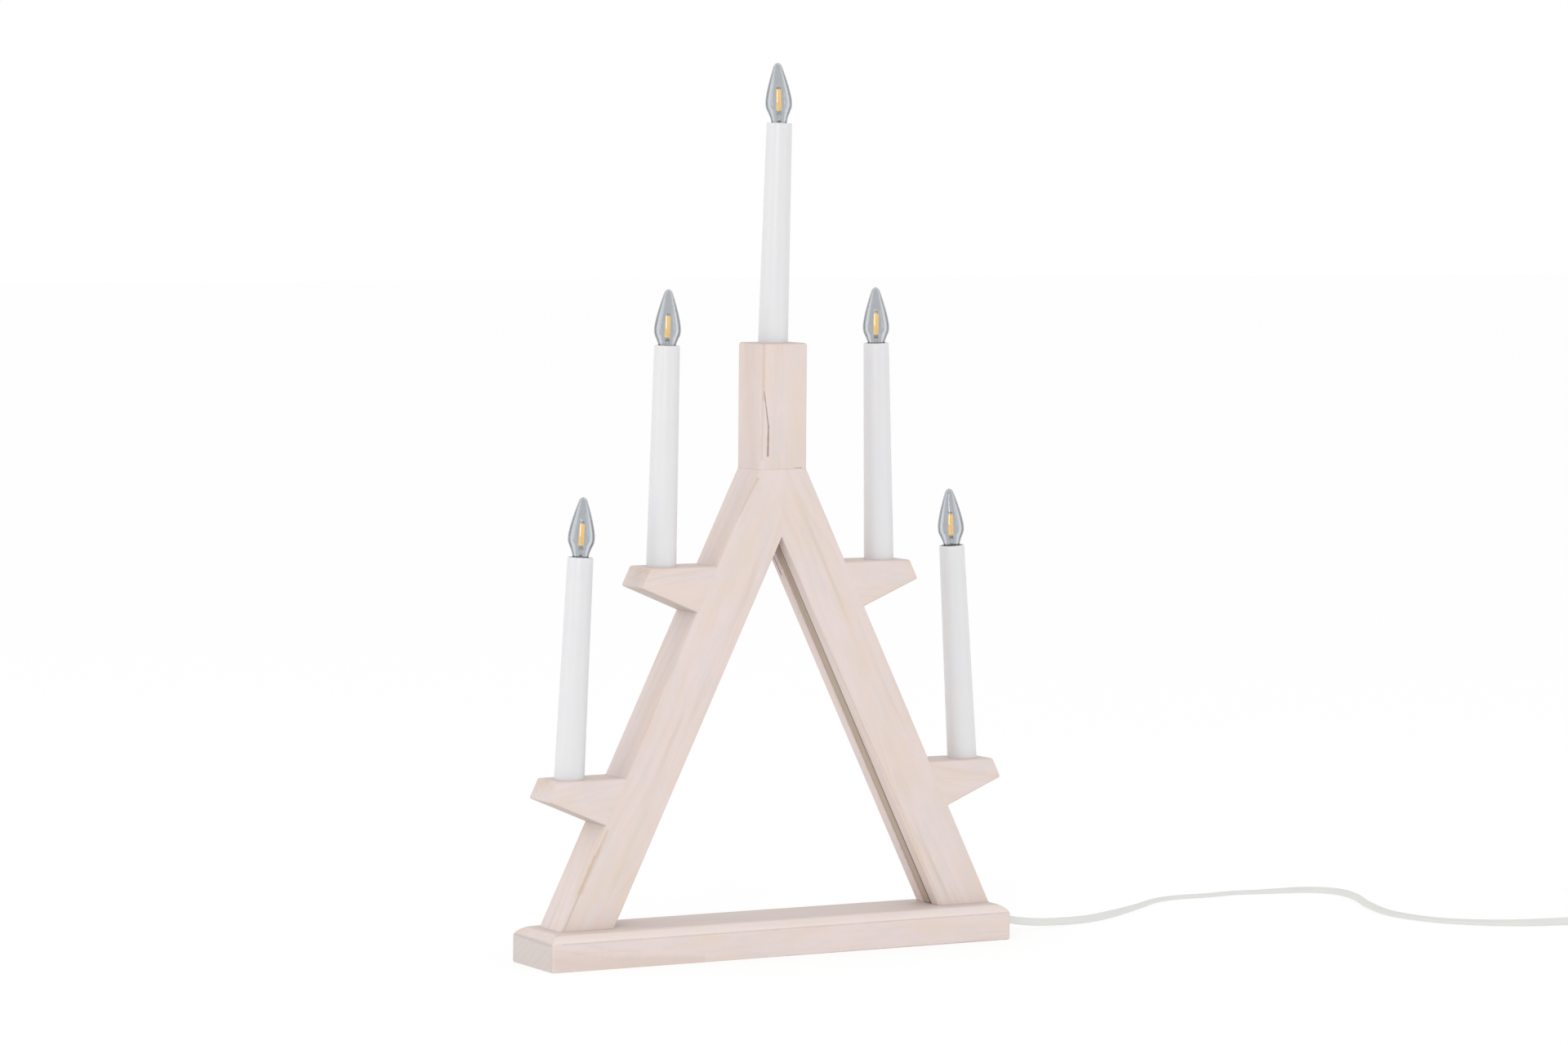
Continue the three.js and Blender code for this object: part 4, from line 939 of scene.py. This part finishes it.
def stemBore(name):
    # the bore that a candle's spigot is glued into
    place, gap = candlePlace(name), spigot["gap"]
    up = place.to_3x3() @ Vector((0, 0, 1))
    return rod(place.translation - up * (spigot["stemDepth"] + gap), place.translation + up * spigot["clear"],
               spigot["stemRadius"] + gap, spigot["stemSides"])


def dowelBore(label):
    low, high = boxOf(f"{label}_neck_dowel")
    x, gap = (low.x + high.x) / 2, groove["gap"]
    return rod((x, 0, low.z - gap), (x, 0, high.z + gap), (high.x - low.x) / 2 + gap)


# Board

board = {
    "wallHeight": 17.5, "roundRun": 10, "roundSteps": 14, "easing": 4.5, "easingSteps": 6, "corner": 2.5,
    "cornerSteps": 6, "footEasing": 0.8, "channelDepth": 13, "gap": 0.3, "boreSides": 32,
}


def easedFoot(ease, bottom):
    # inset and height of a small rounding at the foot of a block
    return [(ease, bottom), (ease * softened, bottom + ease * softened), (0, bottom + ease)]


def wireSlot(side):
    # where the hollow left behind the groove strip comes down on the board: its middle and half its width
    cosine = math.cos(lean)
    behind = groove["recess"] + groove["thickness"]
    middle = legOuterX(boardHigh.z) - (upright["legWidth"] - (behind + upright["grooveDepth"]) / 2) / cosine
    return frameX + side * middle, (upright["grooveDepth"] - behind) / cosine / 2


def boardLevels():
    # inset and height from the foot over the wall, the eased arris and the shallow rounding to the top
    run, easing = board["roundRun"], board["easing"]
    drop = boardHigh.z - board["wallHeight"]
    arc = (run ** 2 + drop ** 2) / (2 * drop)
    easedHeight = boardHigh.z - arc + math.sqrt((arc - easing) ** 2 - (run - easing) ** 2)
    start = math.asin((run - easing) / (arc - easing))
    levels = easedFoot(board["footEasing"], 0)
    for step in range(board["easingSteps"]):
        angle = (math.pi / 2 - start) * step / board["easingSteps"]
        levels.append((easing * (1 - math.cos(angle)), easedHeight + easing * math.sin(angle)))
    for step in range(board["roundSteps"] + 1):
        angle = start * (1 - step / board["roundSteps"])
        levels.append((run - arc * math.sin(angle), boardHigh.z - arc * (1 - math.cos(angle))))
    return levels


def makeBoard():
    # the eased block, with its channel, the slots for wires, and the bores for lead and screws
    shape = stack(boardHigh.x - boardLow.x, boardHigh.y - boardLow.y, board["corner"], board["cornerSteps"],
                  boardLevels())
    coverLow, coverHigh = boxOf("base_channel_cover")
    gap, sides, depth = board["gap"], board["boreSides"], board["channelDepth"]
    front, back, under, over = coverLow.y - gap, coverHigh.y + gap, -past, boardHigh.z + past
    exitHeight = middleOf("strain_relief")[2]
    cutters = [block((coverLow.x - gap, front, under), (coverHigh.x + gap, back, depth)),
               rod((coverHigh.x - past, 0, exitHeight), (boardHigh.x + past, 0, exitHeight),
                   relief["barrel"] + gap, sides)]
    for side in (-1, 1):
        middle, half = wireSlot(side)
        cutters.append(block((middle - half, front, depth - past), (middle + half, back, over)))
    for name in screwNames:
        x, y, _ = middleOf(name)
        headTop = boxOf(name)[0].z + screw["headHeight"] + gap
        cutters.append(rod((x, y, under), (x, y, headTop), screw["headRadius"] + gap, sides))
        cutters.append(rod((x, y, under), (x, y, over), screw["shankRadius"] + gap, sides))
    asPiece(carved(shape, cutters), "board", pine["board"], ("base_board",), sharp=30)


# Legs, their groove strips and the neck

groove = {"recess": 0.8, "thickness": 3, "gap": 0.3, "slack": 0.15, "footGap": 0.1, "edge": 0.25,
          "edgeSteps": 2}


def legBar(side, section, foot, inset):
    # a section of depth from the outer face and y, drawn along the leg and past its foot, and cut off
    # level at the foot and the joint, and upright beside the middle
    rings = [[legPlace(side) @ Vector((-side * depth, y, z)) for depth, y in section]
             for z in (-2 * jointHeight, jointHeight)]
    shape = trim(loft(rings), (0, 0, foot), (0, 0, -1))
    trim(shape, (0, 0, jointHeight), (0, 0, 1))
    return trim(shape, (frameX + side * inset, 0, 0), (-side, 0, 0))


def groovedSection():
    width, ease = upright["legWidth"], upright["grooveEdge"]
    half, deep, little = upright["grooveWidth"] / 2, upright["grooveDepth"], ease * softened
    points = [(x + width / 2, y) for x, y in roundedRectangle(
        width, thickness, upright["corner"], upright["cornerSteps"])]
    return points + [
        (width, -half - ease), (width - little, -half - little), (width - ease, -half), (width - deep, -half),
        (width - deep, half), (width - ease, half), (width - little, half + little), (width, half + ease)]


def makeLeg(side, label):
    # the grooved bar, bored for its screws and dowel and for the wires of its candles
    cutters = []
    for name in screwNames:
        x, y, _ = middleOf(name)
        if name.startswith(label):
            top = boxOf(name)[1].z + groove["gap"]
            cutters.append(rod((x, y, 0), (x, y, top), screw["shankRadius"] + groove["gap"]))
    cutters.append(dowelBore(label))
    cutters += [crossBore(name) for name, candle in candles.items() if candle[0] == side]
    shape = carved(legBar(side, groovedSection(), boardHigh.z, 0), cutters)
    asPiece(shape, f"{label}_leg_wood", pine[label], (f"{label}_leg",))


def makeGrooveStrip(side, label):
    # the thin strip that closes the groove, a little inside the leg's face
    near = upright["legWidth"] - groove["recess"] - groove["thickness"] / 2
    width = upright["grooveWidth"] - 2 * (groove["gap"] + groove["slack"])
    section = [(x + near, y) for x, y in roundedRectangle(
        groove["thickness"], width, groove["edge"], groove["edgeSteps"])]
    shape = legBar(side, section, boardHigh.z + groove["footGap"], groove["gap"] / 2)
    asPiece(shape, f"{label}_strip_wood", stripWood[label], (f"{label}_groove_strip",))


def makeNeck():
    # the post, bored for its wires, the centre candle's stem and both dowels
    ease = upright["topEasing"]
    levels = easedFoot(upright["footEasing"], neckLow.z)
    levels += [(ease * (1 - cosine), neckHigh.z - ease * (1 - sine))
               for cosine, sine in quarter(upright["topSteps"])]
    shape = stack(neckWidth, thickness, upright["corner"], upright["cornerSteps"], levels, frameX)
    wireHole = rod((frameX, 0, neckLow.z - past), (frameX, 0, neckHigh.z - spigot["stemDepth"]),
                   spigot["wireBore"])
    shape = carved(shape, [wireHole, stemBore("centre"), dowelBore("left"), dowelBore("right")])
    asPiece(shape, "neck_wood", pine["neck"], ("neck_post",), sharp=50)


# Shelves

shelf = {"topLength": 47.2, "noseDrop": 12.3, "rootDrop": 28.8, "edge": 1.2, "edgeSteps": 3,
         "candleOut": 32.3, "letIn": 0.9}


def makeShelf(side, label):
    # a wedge with a blunt nose, let a little into the leg
    top = boxOf(f"{label}_shelf")[1].z
    out = legOuterX(top)
    nose = Vector((out + shelf["topLength"] + shelf["noseDrop"] * slope, top - shelf["noseDrop"]))
    root = Vector((legOuterX(top - shelf["rootDrop"]), top - shelf["rootDrop"]))
    inside = root + (root - nose).normalized() * upright["legWidth"] / 2
    corners = [(out - upright["legWidth"] / 2, top), inside, nose, (out + shelf["topLength"], top)]
    shape = loft([[(frameX + side * x, y, z) for x, z in corners] for y in (-thickness / 2, thickness / 2)])
    bmesh.ops.recalc_face_normals(shape, faces=shape.faces)
    bmesh.ops.bevel(shape, geom=shape.edges[:], offset=shelf["edge"], segments=shelf["edgeSteps"],
                    profile=0.5, affect="EDGES")
    point, outward = legFace(side)
    trim(shape, point - outward * shelf["letIn"], -outward)
    place = candlePlace(label)
    wireHole = rod(place @ Vector((0, 0, -spigot["boreDrop"])), place.translation, spigot["wireBore"])
    shape = carved(shape, [stemBore(label), wireHole, crossBore(label)])
    asPiece(shape, f"{label}_shelf_wood", pine[label], (f"{label}_shelf",), sharp=40)


# Candles: the sleeve on its spigot, and the holder in its mouth

sleeve = {"length": 137.5, "footRadius": 9.45, "topRadius": 8.05, "wall": 1.2, "rim": 0.5, "rimSteps": 4,
          "mouthEdge": 0.1, "footSpare": 2, "segments": 72}
holder = {"height": 16, "radius": 6.55, "bore": 5.45, "boreDepth": 12, "edge": 0.8, "lip": 0.25,
          "contactRadius": 1.6, "contactHeight": 0.3, "segments": 48}


def makeSleeve(name, place):
    # a thin tapered tube with an eased rim, cut off level at its foot
    length, foot, top = sleeve["length"], sleeve["footRadius"], sleeve["topRadius"]
    wall, rim, edge, spare = (sleeve[key] for key in ("wall", "rim", "mouthEdge", "footSpare"))
    profile = [(foot, -spare), (foot, 0)]
    profile += [(top - rim * (1 - cosine), length - rim * (1 - sine))
                for cosine, sine in quarter(sleeve["rimSteps"])]
    profile += [(top - wall + edge, length), (top - wall, length - edge), (foot - wall, 0),
                (foot - wall, -spare), profile[0]]
    shape = trim(lathe(profile, sleeve["segments"], place), place.translation, (0, 0, -1))
    asPiece(shape, f"{name}_sleeve_tube", sleevePlastic, (f"{name}_sleeve",))


def makeHolder(name, place):
    # a cup with a contact on its floor
    height, radius, bore, edge, lip = (holder[key] for key in ("height", "radius", "bore", "edge", "lip"))
    floor, contact = -holder["boreDepth"], holder["contactRadius"]
    raised = floor + holder["contactHeight"]
    profile = [
        (0, -height), (radius - edge, -height), (radius, edge - height), (radius, -lip), (radius - lip, 0),
        (bore + lip, 0), (bore, -lip), (bore, floor), (contact, floor), (contact, raised), (0, raised)]
    asPiece(lathe(profile, holder["segments"], place), f"{name}_holder", holderPlastic,
            (f"{name}_lamp_holder",))


# Lamp, measured from the mouth of its holder

lamp = {
    "threadRadius": 4.75, "threadDepth": 0.35, "threadTop": -0.9, "threadRows": 60, "threadSegments": 40,
    "pitch": 1.81, "turns": 5,
    "wall": 0.6, "tipWall": 1.6, "neckRadius": 4, "neckDepth": 3, "spanSteps": 5, "segments": 64,
    "stickCount": 3, "stickRadius": 0.72, "stickSpread": 1.1, "stickFoot": 7.6, "stickLength": 15.4,
    "stickLean": 2.5, "stickSides": 16, "clipLength": 1.1, "wireRadius": 0.16, "wirePast": 0.2,
    "ringWire": 0.192, "ringGap": 0.1, "ringSides": 6, "ringSegments": 24, "stemSegments": 32,
    "cementSegments": 40,
}
# outlines of radius and height
glassProfile = [(4.85, 1.2), (5.6, 4.2), (6.8, 7.3), (8.1, 10.4), (8.4, 13.4), (8.15, 16.4), (7, 22),
                (5.35, 28), (3.45, 34), (2.45, 36.7), (1.4, 38), (0, 38.5)]
stemProfile = [(0, -0.02), (2.2, -0.02), (1.9, 0.4), (1.4, 1.2), (1, 2.4), (0.85, 4), (1.3, 6), (1.6, 6.7),
               (1.2, 7.1), (0, 7.2)]
capTip = [(0.4, -11.2), (1.4, -11.05), (1.8, -10.7), (1.8, -10.3), (3.6, -10.25), (4.2, -10.05)]
capRim = [(4.4, -0.7), (4.7, -0.4), (4.75, 0.05), (4.6, 0.2), (4.12, 0.2), (4.12, -2.6), (0.4, -2.6)]
cementProfile = [(0, -2.55), (3.3, -2.55), (3.3, -0.5), (3.05, -0.25), (1.6, -0.05), (0, 0)]


def makeGlass(name, place):
    # the outer curve, and an inner one that lies a wall's thickness inside it
    wall, neck, depth = lamp["wall"], lamp["neckRadius"], lamp["neckDepth"]
    curve = curveThrough([(neck, -depth), (neck, -wall), *glassProfile], lamp["spanSteps"])
    outer = [(max(r, 0), h) for r, h in curve]
    outer[-1] = (0, outer[-1][1])
    inner = []
    for i, (r, h) in enumerate(outer):
        before, after = outer[max(i - 1, 0)], outer[min(i + 1, len(outer) - 1)]
        along = Vector((after[0] - before[0], after[1] - before[1])).normalized()
        inner.append((max(r - wall * along.y, 0), h + wall * along.x))
    inner[-1] = (0, outer[-1][1] - wall * lamp["tipWall"])
    inner[0] = (neck - wall, -depth)
    asPiece(lathe([*outer, *inner[::-1], outer[0]], lamp["segments"], place), f"{name}_glass", clearGlass,
            (f"{name}_lamp_glass",), sharp=60, body=f"{name}_bulb")


def threadRing(height, share):
    # a ring round the cap at one height, with the ridge where the thread has wound to by then
    root, segments = lamp["threadRadius"] - lamp["threadDepth"], lamp["threadSegments"]
    ring = []
    for i in range(segments):
        angle = 2 * math.pi * i / segments
        wave = 0.5 + 0.5 * math.cos(2 * math.pi * (height / lamp["pitch"]) - angle)
        r = root + lamp["threadDepth"] * wave * share
        ring.append(Vector((r * math.cos(angle), r * math.sin(angle), height)))
    return ring


def makeCap(name, place):
    # thin cap with a rolled thread that runs out at both ends, and a solder tip
    rows, turns, segments = lamp["threadRows"], lamp["turns"], lamp["threadSegments"]
    rings = [circle(*level, segments) for level in capTip]
    for row in range(rows + 1):
        height = lamp["threadTop"] - turns * lamp["pitch"] * (1 - row / rows)
        rings.append(threadRing(height, min(min(row, rows - row) / rows * turns, 1)))
    rings += [circle(*level, segments) for level in capRim]
    asPiece(loft([[place @ point for point in ring] for ring in rings]), f"{name}_cap_metal", capMetal,
            (f"{name}_lamp_cap",), sharp=50, body=f"{name}_cap")


def sticksTree():
    # coated threads standing on a ring, each leaning a little round it; Trim shortens both ends
    tree, kit, given = treeOf("lamp sticks", {
        "Count": "Int", "Spread": "Float", "Foot": "Float", "Length": "Float", "Radius": "Float",
        "Lean": "Float", "Trim": "Float", "Look": "Material"})
    ring = kit.add("GeometryNodeMeshCircle", None, {"Vertices": given["Count"], "Radius": given["Spread"]})
    middle = given["Foot"] + given["Length"] / 2
    raised = kit.add("GeometryNodeTransform", None, {
        "Geometry": ring, "Translation": kit.add("ShaderNodeCombineXYZ", None, {"Z": middle})})
    stick = kit.add("GeometryNodeMeshCylinder", None, {
        "Vertices": lamp["stickSides"], "Side Segments": 1, "Radius": given["Radius"],
        "Depth": given["Length"] - given["Trim"] * 2})
    index = kit.add("GeometryNodeInputIndex")
    turned = kit.add("ShaderNodeCombineXYZ", None, {
        "X": given["Lean"], "Z": index * (2 * math.pi) / given["Count"]})
    standing = kit.add("GeometryNodeInstanceOnPoints", None, {
        "Points": raised, "Instance": stick, "Rotation": turned})
    closeTree(kit, standing, given["Look"])
    return tree


def makeSticks(name, kind, look, radius, trimmed, place, tree, replaced=()):
    grower = grown(bpy.data.meshes.new(kind), kind, tree, {
        "Count": lamp["stickCount"], "Spread": lamp["stickSpread"] * mm, "Foot": lamp["stickFoot"] * mm,
        "Length": lamp["stickLength"] * mm, "Lean": math.radians(lamp["stickLean"]),
        "Radius": radius * mm, "Trim": trimmed * mm, "Look": look})
    inMetres = Matrix.Translation(place.translation * mm) @ place.to_3x3().to_4x4()
    grownPiece(grower, f"{name}_{kind}", look, replaced, sharp=40, body=f"{name}_bulb",
               place=inMetres)


def makeFilament(name, place, tree):
    # the sticks, a wire through each, the glass stem and its cemented foot, and the rings of bent wire
    body = f"{name}_bulb"
    makeSticks(name, "sticks", chipYellow, lamp["stickRadius"], lamp["clipLength"], place, tree,
               (f"{name}_lamp_filament",))
    makeSticks(name, "wires", leadMetal, lamp["wireRadius"], -lamp["wirePast"], place, tree)
    asPiece(lathe(stemProfile, lamp["stemSegments"], place), f"{name}_stem", stemGlass,
            sharp=60, body=body)
    asPiece(lathe(cementProfile, lamp["cementSegments"], place), f"{name}_cement", cementWhite,
            sharp=40, body=body)
    foot, spread, thin = lamp["stickFoot"], lamp["stickSpread"], lamp["ringWire"]
    shape = bmesh.new()
    for height in (foot - lamp["ringGap"], foot + lamp["stickLength"] + lamp["ringGap"]):
        profile = [(spread + x, height + z) for x, z, _ in circle(thin, 0, lamp["ringSides"])]
        lathe([*profile, profile[0]], lamp["ringSegments"], place, shape)
    asPiece(shape, f"{name}_stick_rings", leadMetal, sharp=60, body=body)


# Screws under the feet, drawn once and placed by a geometry tree

screwNames = [f"{side}_{face}_leg_screw" for side in ("left", "right") for face in ("front", "back")]
screw = {"shankRadius": 1.75, "headRadius": 3.5, "headHeight": 2.2, "slotWidth": 0.9, "slotLength": 4.2,
         "slotDepth": 1.3, "tipLength": 4.4, "edge": 0.3, "segments": 40}


def screwTree():
    tree, kit, given = treeOf("screws in place", {"Screw": "Object", "Look": "Material"})
    shape = kit.add("GeometryNodeObjectInfo", {"transform_space": "ORIGINAL"}, {"Object": given["Screw"]},
                    out="Geometry")
    standing = kit.add("GeometryNodeInstanceOnPoints", None, {"Points": given["Geometry"], "Instance": shape})
    closeTree(kit, standing, given["Look"])
    return tree


def makeScrews():
    boxes = [boxOf(name) for name in screwNames]
    length = boxes[0][1].z - boxes[0][0].z
    head, shank = screw["headRadius"], screw["shankRadius"]
    profile = [(0, 0), (head, 0), (head, screw["edge"]), (shank, screw["headHeight"]),
               (shank, length - screw["tipLength"]), (0, length)]
    half, reach, deep = screw["slotWidth"] / 2, screw["slotLength"] / 2, screw["slotDepth"]
    shape = carved(lathe(profile, screw["segments"]), [
        block((-half, -reach, -past), (half, reach, deep)),
        block((-reach, -half, -past), (reach, half, deep))])
    pattern = placed("screw pattern", meshOf(shape, "screw pattern"))
    points = bpy.data.meshes.new("screw places")
    points.from_pydata([((low.x + high.x) / 2 * mm, (low.y + high.y) / 2 * mm, low.z * mm)
                        for low, high in boxes], [], [])
    grower = grown(points, "screws", screwTree(), {"Screw": pattern, "Look": screwMetal})
    grownPiece(grower, "leg_screws", screwMetal, screwNames, sharp=30)
    bpy.data.objects.remove(pattern)


# CAD nodes that stay, in their own finishes

keptLooks = {
    "base_channel_cover": coverWood, "leg_wiring": wirePlastic, "base_wiring": wirePlastic,
    "left_neck_dowel": beechWood, "right_neck_dowel": beechWood,
    **{f"{name}_spigot": beechWood for name in candles},
    **{f"{name}_riser_wire": wirePlastic for name in candles},
}


def dressNode(name, look):
    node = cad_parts[name]
    node.data.materials.clear()
    node.data.materials.append(look)


makeLead([makeRelief(), *makePlug(), makeTie()])
print("lead, plug and tie made")
makeBoard()
for side, label in ((-1, "left"), (1, "right")):
    makeLeg(side, label)
    makeGrooveStrip(side, label)
makeNeck()
for name, candle in candles.items():
    if candle[0]:
        makeShelf(candle[0], name)
makeScrews()
print("woodwork made")
sticks = sticksTree()
for name, (_, _, lampLean, mouthDepth) in candles.items():
    place = candlePlace(name)
    mouth = place @ Matrix.Translation((0, 0, sleeve["length"] - mouthDepth))
    turned = mouth @ rotation("Y", lampLean)
    makeSleeve(name, place)
    makeHolder(name, mouth)
    makeCap(name, turned)
    makeGlass(name, turned)
    makeFilament(name, turned, sticks)
for name, look in keptLooks.items():
    dressNode(name, look)
print("candles made:", len(candles))


# Stage: a pale floor, a white sky round the horizon that is softer overhead, and three soft boxes

stage = {"floorSize": 30, "floorTone": (150, 150, 150), "floorGlow": 0.705, "horizon": 1.0,
         "overhead": 0.92, "horizonTop": 0.14, "overheadFrom": 0.4}
softboxes = [
    # name, place, width, height, power, colour
    ("key box", (-1.9, -2.2, 1.25), 0.55, 1.2, 11.8, (1, 0.99, 0.975)),
    ("left box", (-2.4, 0.2, 0.9), 0.8, 1.6, 5.7, (0.985, 0.99, 1)),
    ("right box", (1.5, -2.7, 1.0), 0.4, 1.5, 4.0, (1, 1, 1)),
]
aim = Vector((0, 0, 0.3))


def makeFloor():
    look, kit = newLook("floor")
    closeLook(kit, {"Base Color": tone(*stage["floorTone"]), "Roughness": 0.9, "Specular IOR Level": 0.0,
                    "Emission Color": (1, 1, 1, 1), "Emission Strength": stage["floorGlow"]})
    shape = bmesh.new()
    half = stage["floorSize"] / 2
    corners = [(-half, -half, 0), (half, -half, 0), (half, half, 0), (-half, half, 0)]
    shape.faces.new([shape.verts.new(corner) for corner in corners])
    mesh = meshOf(shape, "floor", 1)
    mesh.materials.append(look)
    placed("floor", mesh)


def makeSky():
    world = bpy.data.worlds.new("studio")
    world.use_nodes = True
    world.node_tree.nodes.clear()
    kit = Kit(world.node_tree)
    height = kit.axis(kit.coordinate("Generated"), "Z")
    sky = kit.ramp(height, [(0, stage["horizon"]), (stage["horizonTop"], stage["horizon"]),
                            (stage["overheadFrom"], stage["overhead"]), (1, stage["overhead"])])
    kit.add("ShaderNodeOutputWorld", None, {"Surface": kit.add("ShaderNodeBackground", None, {"Color": sky})})
    bpy.context.scene.world = world
    bpy.context.scene.view_settings.view_transform = "Standard"
    bpy.context.scene.view_settings.look = "None"


def makeLights():
    for name, place, width, height, power, colour in softboxes:
        data = bpy.data.lights.new(name, "AREA")
        data.shape = "RECTANGLE"
        data.size = width
        data.size_y = height
        data.energy = power
        data.color = colour
        light = placed(name, data)
        light.location = place
        light.rotation_euler = (aim - Vector(place)).to_track_quat("-Z", "Y").to_euler()


makeFloor()
makeSky()
makeLights()
print("stage lit")
